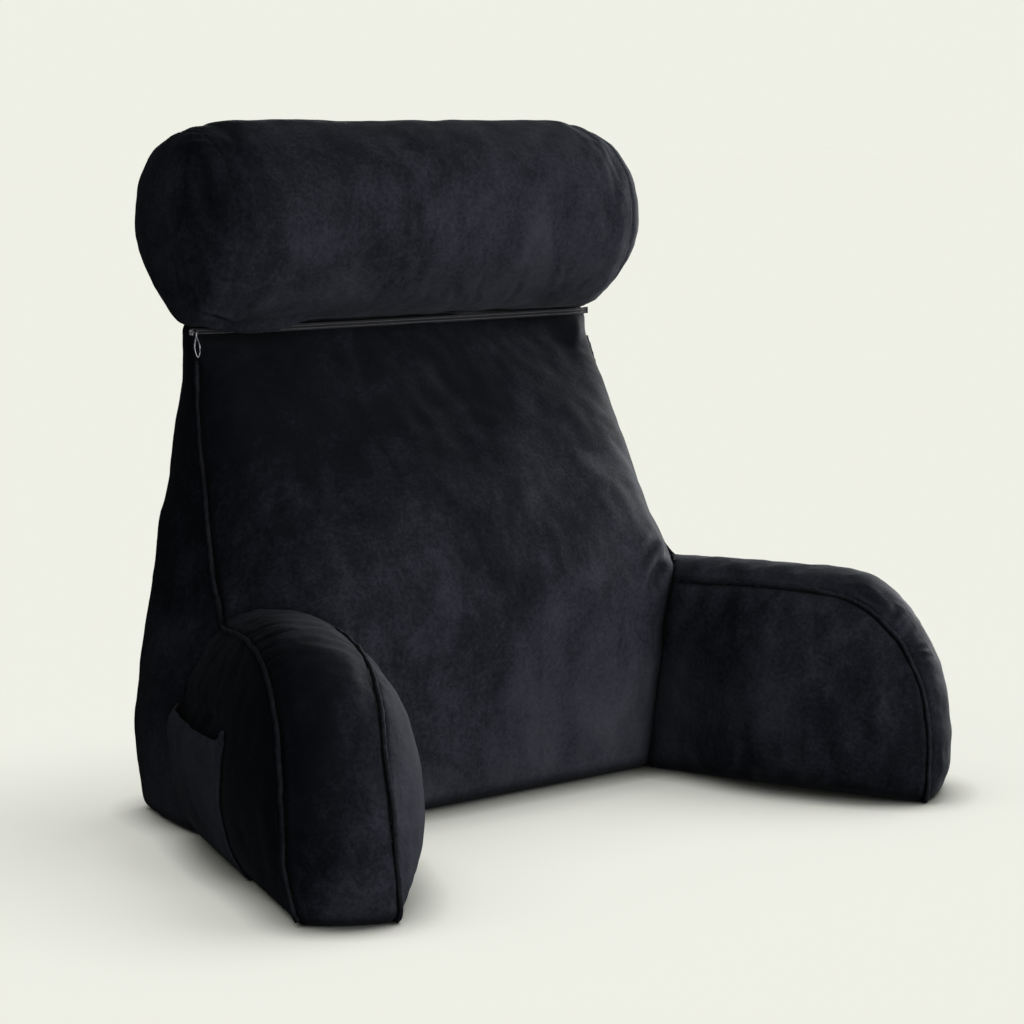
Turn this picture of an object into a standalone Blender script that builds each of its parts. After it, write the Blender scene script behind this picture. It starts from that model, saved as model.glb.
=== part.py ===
"""Reading pillow with arms: a filled back, two filled arms, a neck roll, piped seams, a pocket and a zip.

Metres, +Z up, the front faces -Y and +X is the right side as seen from the front. The floor is z = 0, and
the origin lies on it under the middle of the whole pillow. Lengths in the tables below are measured from
the bottom edge of the front panel, which lies FRONT_EDGE_Y behind the origin.
"""
import math
from collections import namedtuple

import bmesh
import bpy
from mathutils import Vector

# ---------------------------------------------------------------- driving sizes
FRONT_EDGE_Y = 0.0041
GAP = 0.00035                     # between cloths that touch
CUT_GAP = 1.2 * GAP               # by which a cutter is larger than the piece that it stands for

# One horizontal section of the back a row. mid is the front panel's middle, join is the fold where an arm's
# inner panel is sewn on, puff is how far the panel rounds out between there and its side seam, seam is that
# side seam (the gusset seam below the arms' top), corner is the back's side edge and rear_y its middle.
BackRow = namedtuple("BackRow", "z mid_y join_x join_y puff seam_x seam_y corner_x corner_y rear_y")
BACK_ROWS = (
    BackRow(0.000, 0.0000, 0.1675, 0.0000, 0.0000, 0.2790, 0.0450, 0.2702, 0.1500, 0.178),
    BackRow(0.015, -0.0060, 0.1678, -0.0040, 0.0000, 0.2835, 0.0560, 0.2728, 0.1530, 0.188),
    BackRow(0.045, -0.0140, 0.1690, -0.0080, 0.0000, 0.2875, 0.0730, 0.2760, 0.1560, 0.197),
    BackRow(0.080, -0.0210, 0.1710, -0.0100, 0.0000, 0.2880, 0.0785, 0.2746, 0.1590, 0.203),
    BackRow(0.125, -0.0265, 0.1765, -0.0115, 0.0000, 0.2820, 0.0660, 0.2682, 0.1610, 0.207),
    BackRow(0.160, -0.0275, 0.1830, -0.0125, 0.0000, 0.2665, 0.0510, 0.2616, 0.1620, 0.208),
    BackRow(0.177, -0.0255, 0.1870, -0.0125, 0.0000, 0.2515, 0.0510, 0.2572, 0.1625, 0.208),
    BackRow(0.190, -0.0215, 0.1885, -0.0050, 0.0030, 0.2455, 0.0640, 0.2540, 0.1628, 0.208),
    BackRow(0.210, -0.0140, 0.1890, 0.0080, 0.0054, 0.2410, 0.0805, 0.2496, 0.1630, 0.208),
    BackRow(0.250, 0.0110, 0.1862, 0.0345, 0.0078, 0.2333, 0.1003, 0.2425, 0.1640, 0.207),
    BackRow(0.300, 0.0480, 0.1820, 0.0680, 0.0100, 0.2269, 0.1187, 0.2313, 0.1660, 0.205),
    BackRow(0.350, 0.0870, 0.1770, 0.1000, 0.0115, 0.2200, 0.1371, 0.2180, 0.1680, 0.202),
    BackRow(0.390, 0.1210, 0.1710, 0.1300, 0.0090, 0.2135, 0.1480, 0.2105, 0.1700, 0.198),
    BackRow(0.415, 0.1490, 0.1650, 0.1510, 0.0030, 0.2175, 0.1530, 0.2072, 0.1710, 0.194),
    BackRow(0.432, 0.1640, 0.1600, 0.1650, 0.0000, 0.2110, 0.1660, 0.2000, 0.1720, 0.186),
)
BACK_LEVELS = 30
BACK_LEAST_STEP = 0.006           # between two sections of the back
FRONT_STEPS = 7                   # points of half a section, stretch by stretch
JOIN_STEPS = 5
SIDE_STEPS = 5
CORNER_STEPS = 3
REAR_STEPS = 7
SEAM_INDEX = FRONT_STEPS + JOIN_STEPS
FRONT_FLATNESS = 2.4              # powers: the higher, the flatter the panel's middle
REAR_FLATNESS = 2.5
SIDE_BULGE = 0.004
CORNER_RADIUS = 0.022
CORNER_DEPTH = 0.0176
CORNER_TURN = math.radians(62)
ARM_TOP_Z = 0.177                 # the gusset seam and the side seam meet here

ROLL_RADIUS = 0.0875
ROLL_AXIS_Y = 0.157
ROLL_AXIS_Z = 0.504
ROLL_SEAM_X = 0.213               # where the round end is sewn on
ROLL_SEAM_RADIUS = 0.0795
ROLL_SHOULDER_X = 0.166           # full radius as far as this
ROLL_SHOULDER_POWER = 2.2
ROLL_END_X = 0.243
ROLL_END_POWER = 2.1
ROLL_END_FORWARD = 0.007          # the zip draws the lower part of the ends forward
ROLL_FORWARD_DEGREES = 70
ROLL_PULL_DEGREES = 25            # and their underside down, over this angle from the bottom
ROLL_ROUND = 44                   # points round the roll
ROLL_SHOULDER_SHARES = (0.3, 0.55, 0.78, 1.0)
ROLL_END_SHARES = (0.2, 0.42, 0.62, 0.78, 0.9, 0.97, 0.995)

# One arm a row: the seams' top height, and how far the outer seam's front lies behind the inner one's.
ArmRow = namedtuple("ArmRow", "name side top set_back")
ARM_ROWS = (
    ArmRow("arm_left", -1, 0.187, 0.014),
    ArmRow("arm_right", 1, 0.1778, 0.018),
)
ARM_SPLAY = math.radians(24.2)    # the arms open outwards by this angle
ARM_REAR_S = -0.035               # the arm's stations start inside the back
ARM_ROUND_S = 0.220               # the top starts to round down to the front here
ARM_FRONT_S = 0.342
ARM_ROUND_Z = 0.030
ARM_ROUND_POWER = 2.3
ARM_REAR_TOP = 0.176
ARM_RISE_START_S = 0.06           # the top climbs from its rear height between these
ARM_RISE_END_S = 0.19
ARM_FLARE_LENGTH = 0.30
ARM_FOOT_Z = 0.05
ARM_BOXING_CROWN = 0.0145
ARM_BOXING_FULL_Z = 0.035         # the boxing's crown is full from this height
ARM_BOXING_LEAST = 0.45
ARM_BOXING_POWER = 0.7
ARM_BOXING_STEPS = 6
STRAIGHT_END = 0.50               # shares of a seam's way: along the top, round the front, down to the floor
ROUND_END = 0.92
STRAIGHT_RINGS = 9
ROUND_RINGS = 12
FOOT_SHARES = (0.92, 0.96, 1.0)
PANEL_SHARES = (0.0, 0.12, 0.32, 0.55, 0.78, 0.92)

# An arm's two panels. Across the arm: side is the way it faces, seam_w its boxing seam's distance from the
# arm's own axis plane with its lean, flare to the rear and tuck at the foot, floor_w its base seam with its
# taper. Along the arm: set_back is the share of the arm's set-back, foot_s the seam's last way forward, lift
# how much higher its top is. The crown tapers forward, starts with rear_crown at the back, fades at the
# front and rises to its middle with powers, skewed down where skew is under 1.
Panel = namedtuple("Panel", "name side seam_w lean flare tuck floor_w floor_taper set_back foot_s lift "
                            "crown crown_taper rear_crown fade_power rise_power skew piping_start")
INNER = Panel("inner", -1, 0.1535, 0.07, 0.0, 0.0, 0.1535, 0.0, 0.0, -0.001, 0.0,
              0.042, 0.0, 0.15, 12, 0.6, 0.78, 0.262)
OUTER = Panel("outer", 1, 0.240, 0.0, 0.012, 0.008, 0.282, 0.1565, 1.0, 0.004, 0.002,
              0.034, 0.050, 1.0, 6, 0.75, 1.0, 0.198)
INNER_CROWN_START_S = 0.07        # the inner panel is drawn in beside the junction seam
INNER_CROWN_END_S = 0.19
CROWN_HEIGHT_POWER = 0.8
FRONT_FADE_EXTRA = 0.004

PIPING_RADIUS = 0.0022
PIPING_SEAT = PIPING_RADIUS + 1.3 * GAP
PIPING_STEP = 0.0105
PIPING_FOOT_Z = 0.0006
SIDE_PIPING_TOP_Z = 0.4015
SIDE_PIPING_START = 0.55          # it starts this share of a section's step above the arm's seam

# The pocket's rear and front edges along the arm, a row a height.
PocketRow = namedtuple("PocketRow", "z rear_s front_s")
POCKET_EDGES = (
    PocketRow(0.000, 0.0790, 0.2077),
    PocketRow(0.022, 0.0700, 0.2020),
    PocketRow(0.045, 0.0580, 0.2020),
    PocketRow(0.075, 0.0535, 0.2070),
    PocketRow(0.100, 0.0560, 0.2115),
    PocketRow(0.122, 0.0620, 0.2150),
)
POCKET_CLOTH = 0.0018
POCKET_STAND = 0.0155             # how far the open mouth stands off the arm
POCKET_SEAT = 0.0006
POCKET_SAG = 0.004
POCKET_BOTTOM_Z = 0.0012
POCKET_MOUTH_REAR_Z = 0.1100
POCKET_MOUTH_FRONT_Z = 0.1190
POCKET_STEPS = 14
POCKET_ROWS = 12

ZIP_LOW_Z = 0.4090
ZIP_HIGH_Z = 0.4150
ZIP_MIDDLE_Z = (ZIP_LOW_Z + ZIP_HIGH_Z) / 2
ZIP_HALF_LENGTH = 0.2190
ZIP_SEAT = 2.2 * GAP
ZIP_TAPE = 0.0012
ZIP_TEETH_DEPTH = 0.0014
ZIP_TEETH_HEIGHT = 0.0022
ZIP_TEETH_END = 0.003             # by which the teeth stop short of the tape
SLIDER_X = -0.2180
SLIDER_LENGTH = 0.0088
SLIDER_DEPTH = 0.0024
SLIDER_HEIGHT = 0.0068
SLIDER_EDGE = 0.0018
BAIL_RADIUS = 0.0007
BAIL_STAND = 0.0034
BAIL_HALF_WIDTH = 0.0032
BAIL_FOOT = 0.0003
PULL_WIRE_RADIUS = 0.0008
PULL_LENGTH = 0.0245
PULL_HALF_WIDTH = 0.0027
PULL_TOP_SHARE = 0.42             # the wire loop's width at its top, as a share of its width below
PULL_TOP_LIFT = 0.0022
PULL_SPREAD = 0.0019              # each strand's distance from the bail's bar, front and rear
PULL_LEAN = 0.003
PULL_STEPS = 22

VELVET = (0.010, 0.011, 0.016)
PIPING_VELVET = (0.013, 0.014, 0.020)
ZIP_NYLON = (0.030, 0.031, 0.036)
ZIP_METAL = (0.060, 0.060, 0.064)


# ---------------------------------------------------------------- small tools
def column(rows, key, field, at):
    """Value of a table's column at a key, on a smooth curve through its rows that never overshoots."""
    keys = [getattr(row, key) for row in rows]
    values = [getattr(row, field) for row in rows]
    at = min(max(at, keys[0]), keys[-1])
    slopes = [(values[i + 1] - values[i]) / (keys[i + 1] - keys[i]) for i in range(len(keys) - 1)]
    tangents = [slopes[0]]
    for before, after in zip(slopes, slopes[1:]):
        same_way = before * after > 0
        tangents.append(2 * before * after / (before + after) if same_way else 0.0)
    tangents.append(slopes[-1])
    i = max(k for k in range(len(slopes)) if keys[k] <= at)
    width = keys[i + 1] - keys[i]
    t = (at - keys[i]) / width
    return (values[i] * (1 + 2 * t) * (1 - t) ** 2 + tangents[i] * width * t * (1 - t) ** 2
            + values[i + 1] * t * t * (3 - 2 * t) - tangents[i + 1] * width * t * t * (1 - t))


def mix(start, end, share):
    """Point or number at a share of the way from start to end."""
    return start + (end - start) * share


def smooth_step(low, high, value):
    """0 below low, 1 above high and a soft rise between."""
    t = min(max((value - low) / (high - low), 0.0), 1.0)
    return t * t * (3 - 2 * t)


def arch(share):
    """0 at both ends and 1 half way."""
    return 4 * share * (1 - share)


def across(direction):
    """Unit vector at right angles to a plan direction, on its right."""
    return Vector((direction.y, -direction.x)).normalized()


def loft(name, rings, point_ends=False):
    """Closed body through unlike rings of equal count, with flat ends or ends drawn to a point."""
    bm = bmesh.new()
    loops = [[bm.verts.new(point) for point in ring] for ring in rings]
    count = len(loops[0])
    for first, second in zip(loops, loops[1:]):
        for i in range(count):
            j = (i + 1) % count
            bm.faces.new((first[i], first[j], second[j], second[i]))
    for loop, inward in ((loops[0], loops[1]), (loops[-1], loops[-2])):
        if point_ends:
            centre = sum((v.co for v in loop), Vector()) / count
            next_centre = sum((v.co for v in inward), Vector()) / count
            tip = bm.verts.new(centre + (centre - next_centre) * 0.25)
            for i in range(count):
                bm.faces.new((loop[i], loop[(i + 1) % count], tip))
        else:
            bm.faces.new(loop)
    bmesh.ops.remove_doubles(bm, verts=bm.verts, dist=0.00001)
    bmesh.ops.recalc_face_normals(bm, faces=bm.faces)
    # Every twisted quad gets its diagonal here, so a piece and the cutter made from it have the same faces.
    quads = [face for face in bm.faces if len(face.verts) == 4]
    bmesh.ops.triangulate(bm, faces=quads, quad_method="FIXED")
    return new_object(name, bm)


def new_object(name, bm):
    """Mesh object from a bmesh, smooth but for its sharp edges."""
    mesh = bpy.data.meshes.new(name)
    bm.to_mesh(mesh)
    bm.free()
    mesh.shade_smooth()
    mesh.set_sharp_from_angle(angle=math.radians(40))
    return bpy.data.objects.new(name, mesh)


def tube(name, points, radius, cyclic=False):
    """Round strand along a list of points, as a closed mesh."""
    curve = bpy.data.curves.new(name, "CURVE")
    curve.dimensions = "3D"
    curve.bevel_depth = radius
    curve.bevel_resolution = 2
    curve.use_fill_caps = True
    spline = curve.splines.new("POLY")
    spline.points.add(len(points) - 1)
    for slot, point in zip(spline.points, points):
        slot.co = (*point, 1.0)
    spline.use_cyclic_u = cyclic
    source = bpy.data.objects.new(name + "_path", curve)
    bpy.context.scene.collection.objects.link(source)
    bpy.context.view_layer.update()
    evaluated = source.evaluated_get(bpy.context.evaluated_depsgraph_get())
    mesh = bpy.data.meshes.new_from_object(evaluated)
    bpy.data.objects.remove(source)
    bm = bmesh.new()
    bm.from_mesh(mesh)
    bpy.data.meshes.remove(mesh)
    bmesh.ops.remove_doubles(bm, verts=bm.verts, dist=0.00001)
    bmesh.ops.recalc_face_normals(bm, faces=bm.faces)
    return new_object(name, bm)


def even_path(points, step):
    """The same path with points about a step apart."""
    lengths = [0.0]
    for before, after in zip(points, points[1:]):
        lengths.append(lengths[-1] + (after - before).length)
    count = max(2, round(lengths[-1] / step))
    path = []
    i = 0
    for k in range(count + 1):
        target = lengths[-1] * k / count
        while i < len(points) - 2 and lengths[i + 1] < target:
            i += 1
        share = (target - lengths[i]) / (lengths[i + 1] - lengths[i])
        path.append(mix(points[i], points[i + 1], share))
    return path


def combine(target, other, operation):
    """Cut a solid out of another, or join it to it, with an exact Boolean modifier."""
    modifier = target.modifiers.new(other.name, "BOOLEAN")
    modifier.operation = operation
    modifier.object = other


def grown_copy(source, name, amount):
    """Cutter that follows a solid at a small distance all round."""
    cutter = bpy.data.objects.new(name, source.data.copy())
    grow = cutter.modifiers.new("grow", "DISPLACE")
    grow.mid_level = 0.0
    grow.strength = amount
    return cutter


def finish(name, colour, roughness, metallic=0.0):
    """Plain material with the piece's own colour."""
    material = bpy.data.materials.new(name)
    material.use_nodes = True
    shader = material.node_tree.nodes["Principled BSDF"]
    shader.inputs["Base Color"].default_value = (*colour, 1.0)
    shader.inputs["Roughness"].default_value = roughness
    shader.inputs["Metallic"].default_value = metallic
    return material


# ---------------------------------------------------------------- back
def back_section(z):
    """Closed plan section of the back at a height, counter-clockwise from the front panel's middle."""
    row = BackRow(z, *(column(BACK_ROWS, "z", field, z) for field in BackRow._fields[1:]))
    join = Vector((row.join_x, row.join_y))
    seam = Vector((row.seam_x, row.seam_y))
    corner = Vector((row.corner_x, row.corner_y))
    half = []
    for i in range(FRONT_STEPS):
        share = i / FRONT_STEPS
        half.append((join.x * share, mix(row.mid_y, join.y, share ** FRONT_FLATNESS)))
    # Above the arms the panel rounds over towards its seam; beside them it is sewn flat to the arm.
    outward = across(seam - join)
    for i in range(JOIN_STEPS):
        share = i / JOIN_STEPS
        half.append(tuple(mix(join, seam, share) + outward * row.puff * arch(share)))
    for i in range(SIDE_STEPS):
        share = i / SIDE_STEPS
        half.append((mix(seam.x, corner.x, share) + SIDE_BULGE * arch(share), mix(seam.y, corner.y, share)))
    for i in range(CORNER_STEPS):
        half.append(corner_point(corner, CORNER_TURN * i / CORNER_STEPS))
    rear = Vector(corner_point(corner, CORNER_TURN))
    for i in range(REAR_STEPS + 1):
        share = 1 - i / REAR_STEPS
        half.append((rear.x * share, mix(row.rear_y, rear.y, share ** REAR_FLATNESS)))
    mirrored = [(-x, y) for x, y in half[1:-1]]
    return [Vector((x, y + FRONT_EDGE_Y, z)) for x, y in half + mirrored[::-1]]


def corner_point(corner, turn):
    """Point of the rounded edge between a side and the rear panel."""
    return corner.x - CORNER_RADIUS * (1 - math.cos(turn)), corner.y + CORNER_DEPTH * math.sin(turn)


def back_levels():
    """Heights of the back's sections, closer together near the floor and the top."""
    rows = [row.z for row in BACK_ROWS]
    kept = rows + [ZIP_LOW_Z]
    for i in range(1, BACK_LEVELS):
        z = rows[-1] * (0.5 - 0.5 * math.cos(math.pi * i / BACK_LEVELS))
        if min(abs(z - other) for other in kept) > BACK_LEAST_STEP:
            kept.append(z)
    return sorted(kept)


def front_y(x, z):
    """Where the front panel lies at a place above the arms."""
    front = back_section(z)[:SEAM_INDEX + 1]
    for before, after in zip(front, front[1:]):
        if before.x <= abs(x) <= after.x:
            return mix(before.y, after.y, (abs(x) - before.x) / (after.x - before.x))
    return front[-1].y


def side_seam_path(side):
    """Piping of a side seam, from the top of the arm up to the zip."""
    path = []
    for z in [z for z in back_levels() if ARM_TOP_Z <= z < SIDE_PIPING_TOP_Z] + [SIDE_PIPING_TOP_Z]:
        before, here, after = (point.to_2d() for point in back_section(z)[SEAM_INDEX - 1:SEAM_INDEX + 2])
        outward = (across(here - before) + across(after - here)).normalized()
        point = here + outward * (PIPING_SEAT + GAP / 2)
        path.append(Vector((side * point.x, point.y, z)))
    path[0] = mix(path[0], path[1], SIDE_PIPING_START)
    return path


# ---------------------------------------------------------------- neck roll
def roll_radius(x):
    """Radius of the neck roll's plain turned form at a distance from its middle."""
    if x <= ROLL_SHOULDER_X:
        return ROLL_RADIUS
    if x <= ROLL_SEAM_X:
        share = (x - ROLL_SHOULDER_X) / (ROLL_SEAM_X - ROLL_SHOULDER_X)
        return mix(ROLL_RADIUS, ROLL_SEAM_RADIUS, share ** ROLL_SHOULDER_POWER)
    share = (x - ROLL_SEAM_X) / (ROLL_END_X - ROLL_SEAM_X)
    return ROLL_SEAM_RADIUS * math.sqrt(max(1 - share ** ROLL_END_POWER, 0.0))


def roll_ring(x, grow=0.0):
    """Section of the neck roll: round, and drawn down and forward to the zip towards its ends."""
    radius = roll_radius(abs(x))
    pull = (ROLL_RADIUS - radius) * (1 - smooth_step(ZIP_HALF_LENGTH, ROLL_END_X, abs(x)))
    forward = ROLL_END_FORWARD * smooth_step(ROLL_SHOULDER_X, ROLL_END_X, abs(x))
    ring = []
    for i in range(ROLL_ROUND):
        angle = 2 * math.pi * i / ROLL_ROUND
        from_bottom = math.degrees(math.pi - abs(angle - math.pi))
        reach = radius + grow + pull * math.exp(-(from_bottom / ROLL_PULL_DEGREES) ** 2)
        y = ROLL_AXIS_Y + reach * math.sin(angle)
        y -= forward * math.exp(-(from_bottom / ROLL_FORWARD_DEGREES) ** 2)
        ring.append(Vector((x, y + FRONT_EDGE_Y, ROLL_AXIS_Z - reach * math.cos(angle))))
    return ring


def roll_stations():
    """Distances from the roll's middle at which it gets a section, to one side."""
    middle = [ROLL_SHOULDER_X * i / 3 for i in range(4)]
    shoulder = [mix(ROLL_SHOULDER_X, ROLL_SEAM_X, share) for share in ROLL_SHOULDER_SHARES]
    end = [mix(ROLL_SEAM_X, ROLL_END_X, share) for share in ROLL_END_SHARES]
    return middle + shoulder + end


def neck_roll(name, grow=0.0):
    """The neck roll, or a slightly grown copy of it."""
    positive = roll_stations()
    stations = [-x for x in positive[:0:-1]] + positive
    return loft(name, [roll_ring(x, grow) for x in stations], point_ends=True)


# ---------------------------------------------------------------- arms
def arm_place(arm, s, w, z):
    """World point from a distance s along the arm, w across it and a height."""
    x = s * math.sin(ARM_SPLAY) + w * math.cos(ARM_SPLAY)
    y = -s * math.cos(ARM_SPLAY) + w * math.sin(ARM_SPLAY)
    return Vector((arm.side * x, y + FRONT_EDGE_Y, z))


def arm_seam(arm, panel, share):
    """A point (s, w, z) of a panel's boxing seam, from the rear over the top to the floor."""
    front = ARM_FRONT_S - arm.set_back * panel.set_back
    top = arm.top + panel.lift
    if share <= STRAIGHT_END:
        s = mix(ARM_REAR_S, ARM_ROUND_S, share / STRAIGHT_END)
        z = mix(ARM_REAR_TOP, top, smooth_step(ARM_RISE_START_S, ARM_RISE_END_S, s))
    elif share <= ROUND_END:
        angle = math.pi / 2 * (share - STRAIGHT_END) / (ROUND_END - STRAIGHT_END)
        power = 2 / ARM_ROUND_POWER
        s = mix(ARM_ROUND_S, front, math.sin(angle) ** power)
        z = mix(ARM_ROUND_Z, top, max(math.cos(angle), 0.0) ** power)
    else:
        down = (share - ROUND_END) / (1 - ROUND_END)
        s = front + panel.foot_s * down
        z = ARM_ROUND_Z * (1 - down)
    w = panel.seam_w + panel.lean * z
    w += panel.flare * (1 - min(max(s, 0.0) / ARM_FLARE_LENGTH, 1.0) ** 2)
    w -= panel.tuck * (1 - smooth_step(0.0, ARM_FOOT_Z, z))
    return s, w, z


def seam_frame(arm, panel, station):
    """Outward normal of a boxing seam in the arm's own upright plane, as (s, w, z)."""
    step = 0.01
    ahead = arm_seam(arm, panel, min(station, 1 - step) + step)
    behind = arm_seam(arm, panel, min(station, 1 - step) - step)
    return Vector((behind[2] - ahead[2], 0.0, ahead[0] - behind[0])).normalized()


def arm_crown(arm, panel, s, z_seam, share):
    """How far a panel stands out at a share of its height, across the arm."""
    low = (max(z_seam, 0.0) / arm.top) ** CROWN_HEIGHT_POWER
    front = 1 - min(max(s, 0.0) / (ARM_FRONT_S + FRONT_FADE_EXTRA), 1.0) ** panel.fade_power
    rear = mix(panel.rear_crown, 1.0, smooth_step(INNER_CROWN_START_S, INNER_CROWN_END_S, s))
    rise = max(arch(share ** panel.skew), 0.0) ** panel.rise_power
    depth = panel.crown - panel.crown_taper * max(s, 0.0)
    return panel.side * depth * low * front * rear * rise


def arm_panel(arm, panel, station, share):
    """A point (s, w, z) of a panel on its rib from the base seam (0) to the boxing seam (1)."""
    s_seam, w_seam, z_seam = arm_seam(arm, panel, station)
    s_base = s_seam
    if station > STRAIGHT_END:
        reach = (station - STRAIGHT_END) / (1 - STRAIGHT_END)
        s_base = mix(ARM_ROUND_S, arm_seam(arm, panel, 1.0)[0], reach ** 0.85)
    s = mix(s_base, s_seam, share)
    w = mix(panel.floor_w - panel.floor_taper * s_base, w_seam, share)
    return s, w + arm_crown(arm, panel, s, z_seam, share), z_seam * share


def arm_ring(arm, station):
    """Closed section of an arm: up the inner panel, over the boxing, down the outer panel, along the base."""
    ring = [arm_place(arm, *arm_panel(arm, INNER, station, share)) for share in PANEL_SHARES]
    inner = Vector(arm_seam(arm, INNER, station))
    outer = Vector(arm_seam(arm, OUTER, station))
    normal = seam_frame(arm, INNER, station)
    fullness = mix(ARM_BOXING_LEAST, 1.0, smooth_step(0.0, ARM_BOXING_FULL_Z, inner.z))
    boxing = []
    for i in range(ARM_BOXING_STEPS + 1):
        share = i / ARM_BOXING_STEPS
        offset = normal * ARM_BOXING_CROWN * fullness * arch(share) ** ARM_BOXING_POWER
        offset.z = max(offset.z, 0.0)
        boxing.append(arm_place(arm, *(mix(inner, outer, share) + offset)))
    ring += boxing
    ring += [arm_place(arm, *arm_panel(arm, OUTER, station, share)) for share in PANEL_SHARES[::-1]]
    if station < 1.0:
        start = ring[-1]
        end = ring[0]
        ring += [mix(start, end, i / ARM_BOXING_STEPS) for i in range(1, ARM_BOXING_STEPS)]
    else:
        ring += [point.copy() for point in boxing[-2:0:-1]]
    return ring


def arm_body(arm):
    """The arm before its rear is trimmed to the back."""
    straight = [STRAIGHT_END * i / STRAIGHT_RINGS for i in range(STRAIGHT_RINGS)]
    rounded = [mix(STRAIGHT_END, ROUND_END, i / ROUND_RINGS) for i in range(ROUND_RINGS)]
    stations = straight + rounded + list(FOOT_SHARES)
    return loft(arm.name, [arm_ring(arm, station) for station in stations])


def joint_cutter(arm):
    """What lies behind the gusset seam and outside the back, where the arm's rear could stand proud."""
    inward, outward, behind = 0.004, 0.030, 0.30
    levels = [-0.02] + [z for z in back_levels() if z <= ARM_TOP_Z]
    rings = []
    for z in levels:
        section = back_section(max(z, 0.0))
        join = section[FRONT_STEPS].to_2d()
        seam = section[SEAM_INDEX].to_2d()
        chord = (seam - join).normalized()
        near = seam - chord * inward + across(chord) * (CUT_GAP + GAP / 10)
        far = near + chord * (inward + outward)
        plan = (near, far, Vector((far.x, behind)), Vector((near.x, behind)))
        rings.append([Vector((arm.side * point.x, point.y, z)) for point in plan])
    return loft("joint_cutter_" + arm.name, rings)


def arm_piping_path(arm, panel):
    """Centre line of the piping along an arm's seam, from the back over the top to the floor."""
    points = []
    for i in range(61):
        station = mix(panel.piping_start, 1.0, i / 60)
        outward = (seam_frame(arm, panel, station) + Vector((0.0, panel.side, 0.0))).normalized()
        place = Vector(arm_seam(arm, panel, station)) + outward * PIPING_SEAT
        points.append(arm_place(arm, *place))
    path = even_path(points, PIPING_STEP)
    path[-1].z = PIPING_FOOT_Z
    return path


# ---------------------------------------------------------------- pocket
def pocket_point(arm, u, v, off):
    """A point of the pocket: u from its rear to its front edge, v from its bottom to its mouth."""
    mouth = mix(POCKET_MOUTH_REAR_Z, POCKET_MOUTH_FRONT_Z, u ** 2) - POCKET_SAG * math.sin(math.pi * u)
    z = mix(POCKET_BOTTOM_Z, mouth, v)
    s = mix(column(POCKET_EDGES, "z", "rear_s", z), column(POCKET_EDGES, "z", "front_s", z), u)
    station = STRAIGHT_END * (s - ARM_REAR_S) / (ARM_ROUND_S - ARM_REAR_S)
    z_seam = arm_seam(arm, OUTER, station)[2]
    s, w, z = arm_panel(arm, OUTER, station, z / z_seam)
    stand = POCKET_STAND * math.sin(math.pi * u) ** 0.7 * v ** 0.9
    return arm_place(arm, s, w + POCKET_SEAT + stand + off, z)


def pocket(arm):
    """Patch pocket: a sheet sewn to the arm round three sides, its mouth sagging open."""
    rings = []
    rows = [j / POCKET_ROWS for j in range(POCKET_ROWS + 1)]
    for i in range(POCKET_STEPS + 1):
        u = i / POCKET_STEPS
        inner = [pocket_point(arm, u, v, 0.0) for v in rows]
        outer = [pocket_point(arm, u, v, POCKET_CLOTH) for v in rows]
        rings.append(inner + outer[::-1])
    return loft("pocket", rings)


# ---------------------------------------------------------------- zip
def zip_strip(name, front_offset, depth, height, start, end):
    """Thin upright strip that bends with the front panel along the zip."""
    low = ZIP_MIDDLE_Z - height / 2
    high = ZIP_MIDDLE_Z + height / 2
    bends = [point.x for point in back_section(ZIP_LOW_Z)[:SEAM_INDEX + 1]]
    bends = sorted(bends + [-x for x in bends[1:]])
    rings = []
    for x in [start] + [x for x in bends if start < x < end] + [end]:
        rear = front_y(x, ZIP_LOW_Z) - front_offset
        front = rear - depth
        rings.append([Vector((x, rear, low)), Vector((x, front, low)),
                      Vector((x, front, high)), Vector((x, rear, high))])
    return loft(name, rings)


def zip_tape():
    """The woven tape that the neck roll and the back are sewn to."""
    return zip_strip("zip_tape", ZIP_SEAT, ZIP_TAPE, ZIP_HIGH_Z - ZIP_LOW_Z, -ZIP_HALF_LENGTH, ZIP_HALF_LENGTH)


def zip_teeth():
    """The closed row of teeth, from the slider to the far end."""
    start = SLIDER_X + SLIDER_LENGTH / 2 + GAP
    return zip_strip("zip_teeth", ZIP_SEAT + ZIP_TAPE + GAP, ZIP_TEETH_DEPTH, ZIP_TEETH_HEIGHT,
                     start, ZIP_HALF_LENGTH - ZIP_TEETH_END)


def slider_face_y():
    """Where the slider's front face lies, clear of the tape at its inner end."""
    return front_y(SLIDER_X + SLIDER_LENGTH / 2, ZIP_LOW_Z) - ZIP_SEAT - ZIP_TAPE - GAP - SLIDER_DEPTH


def zip_slider():
    """The slider's plate, its upright edges rounded."""
    bm = bmesh.new()
    bmesh.ops.create_cube(bm, size=1.0)
    bmesh.ops.scale(bm, verts=bm.verts, vec=(SLIDER_LENGTH, SLIDER_DEPTH, SLIDER_HEIGHT))
    corners = [e for e in bm.edges if abs(e.verts[0].co.y - e.verts[1].co.y) > SLIDER_DEPTH / 2]
    bmesh.ops.bevel(bm, geom=corners, offset=SLIDER_EDGE, offset_type="OFFSET", segments=3, profile=0.5,
                    affect="EDGES", material=-1)
    middle = (SLIDER_X, slider_face_y() + SLIDER_DEPTH / 2, ZIP_MIDDLE_Z)
    bmesh.ops.translate(bm, verts=bm.verts, vec=middle)
    return new_object("zip_slider", bm)


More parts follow.
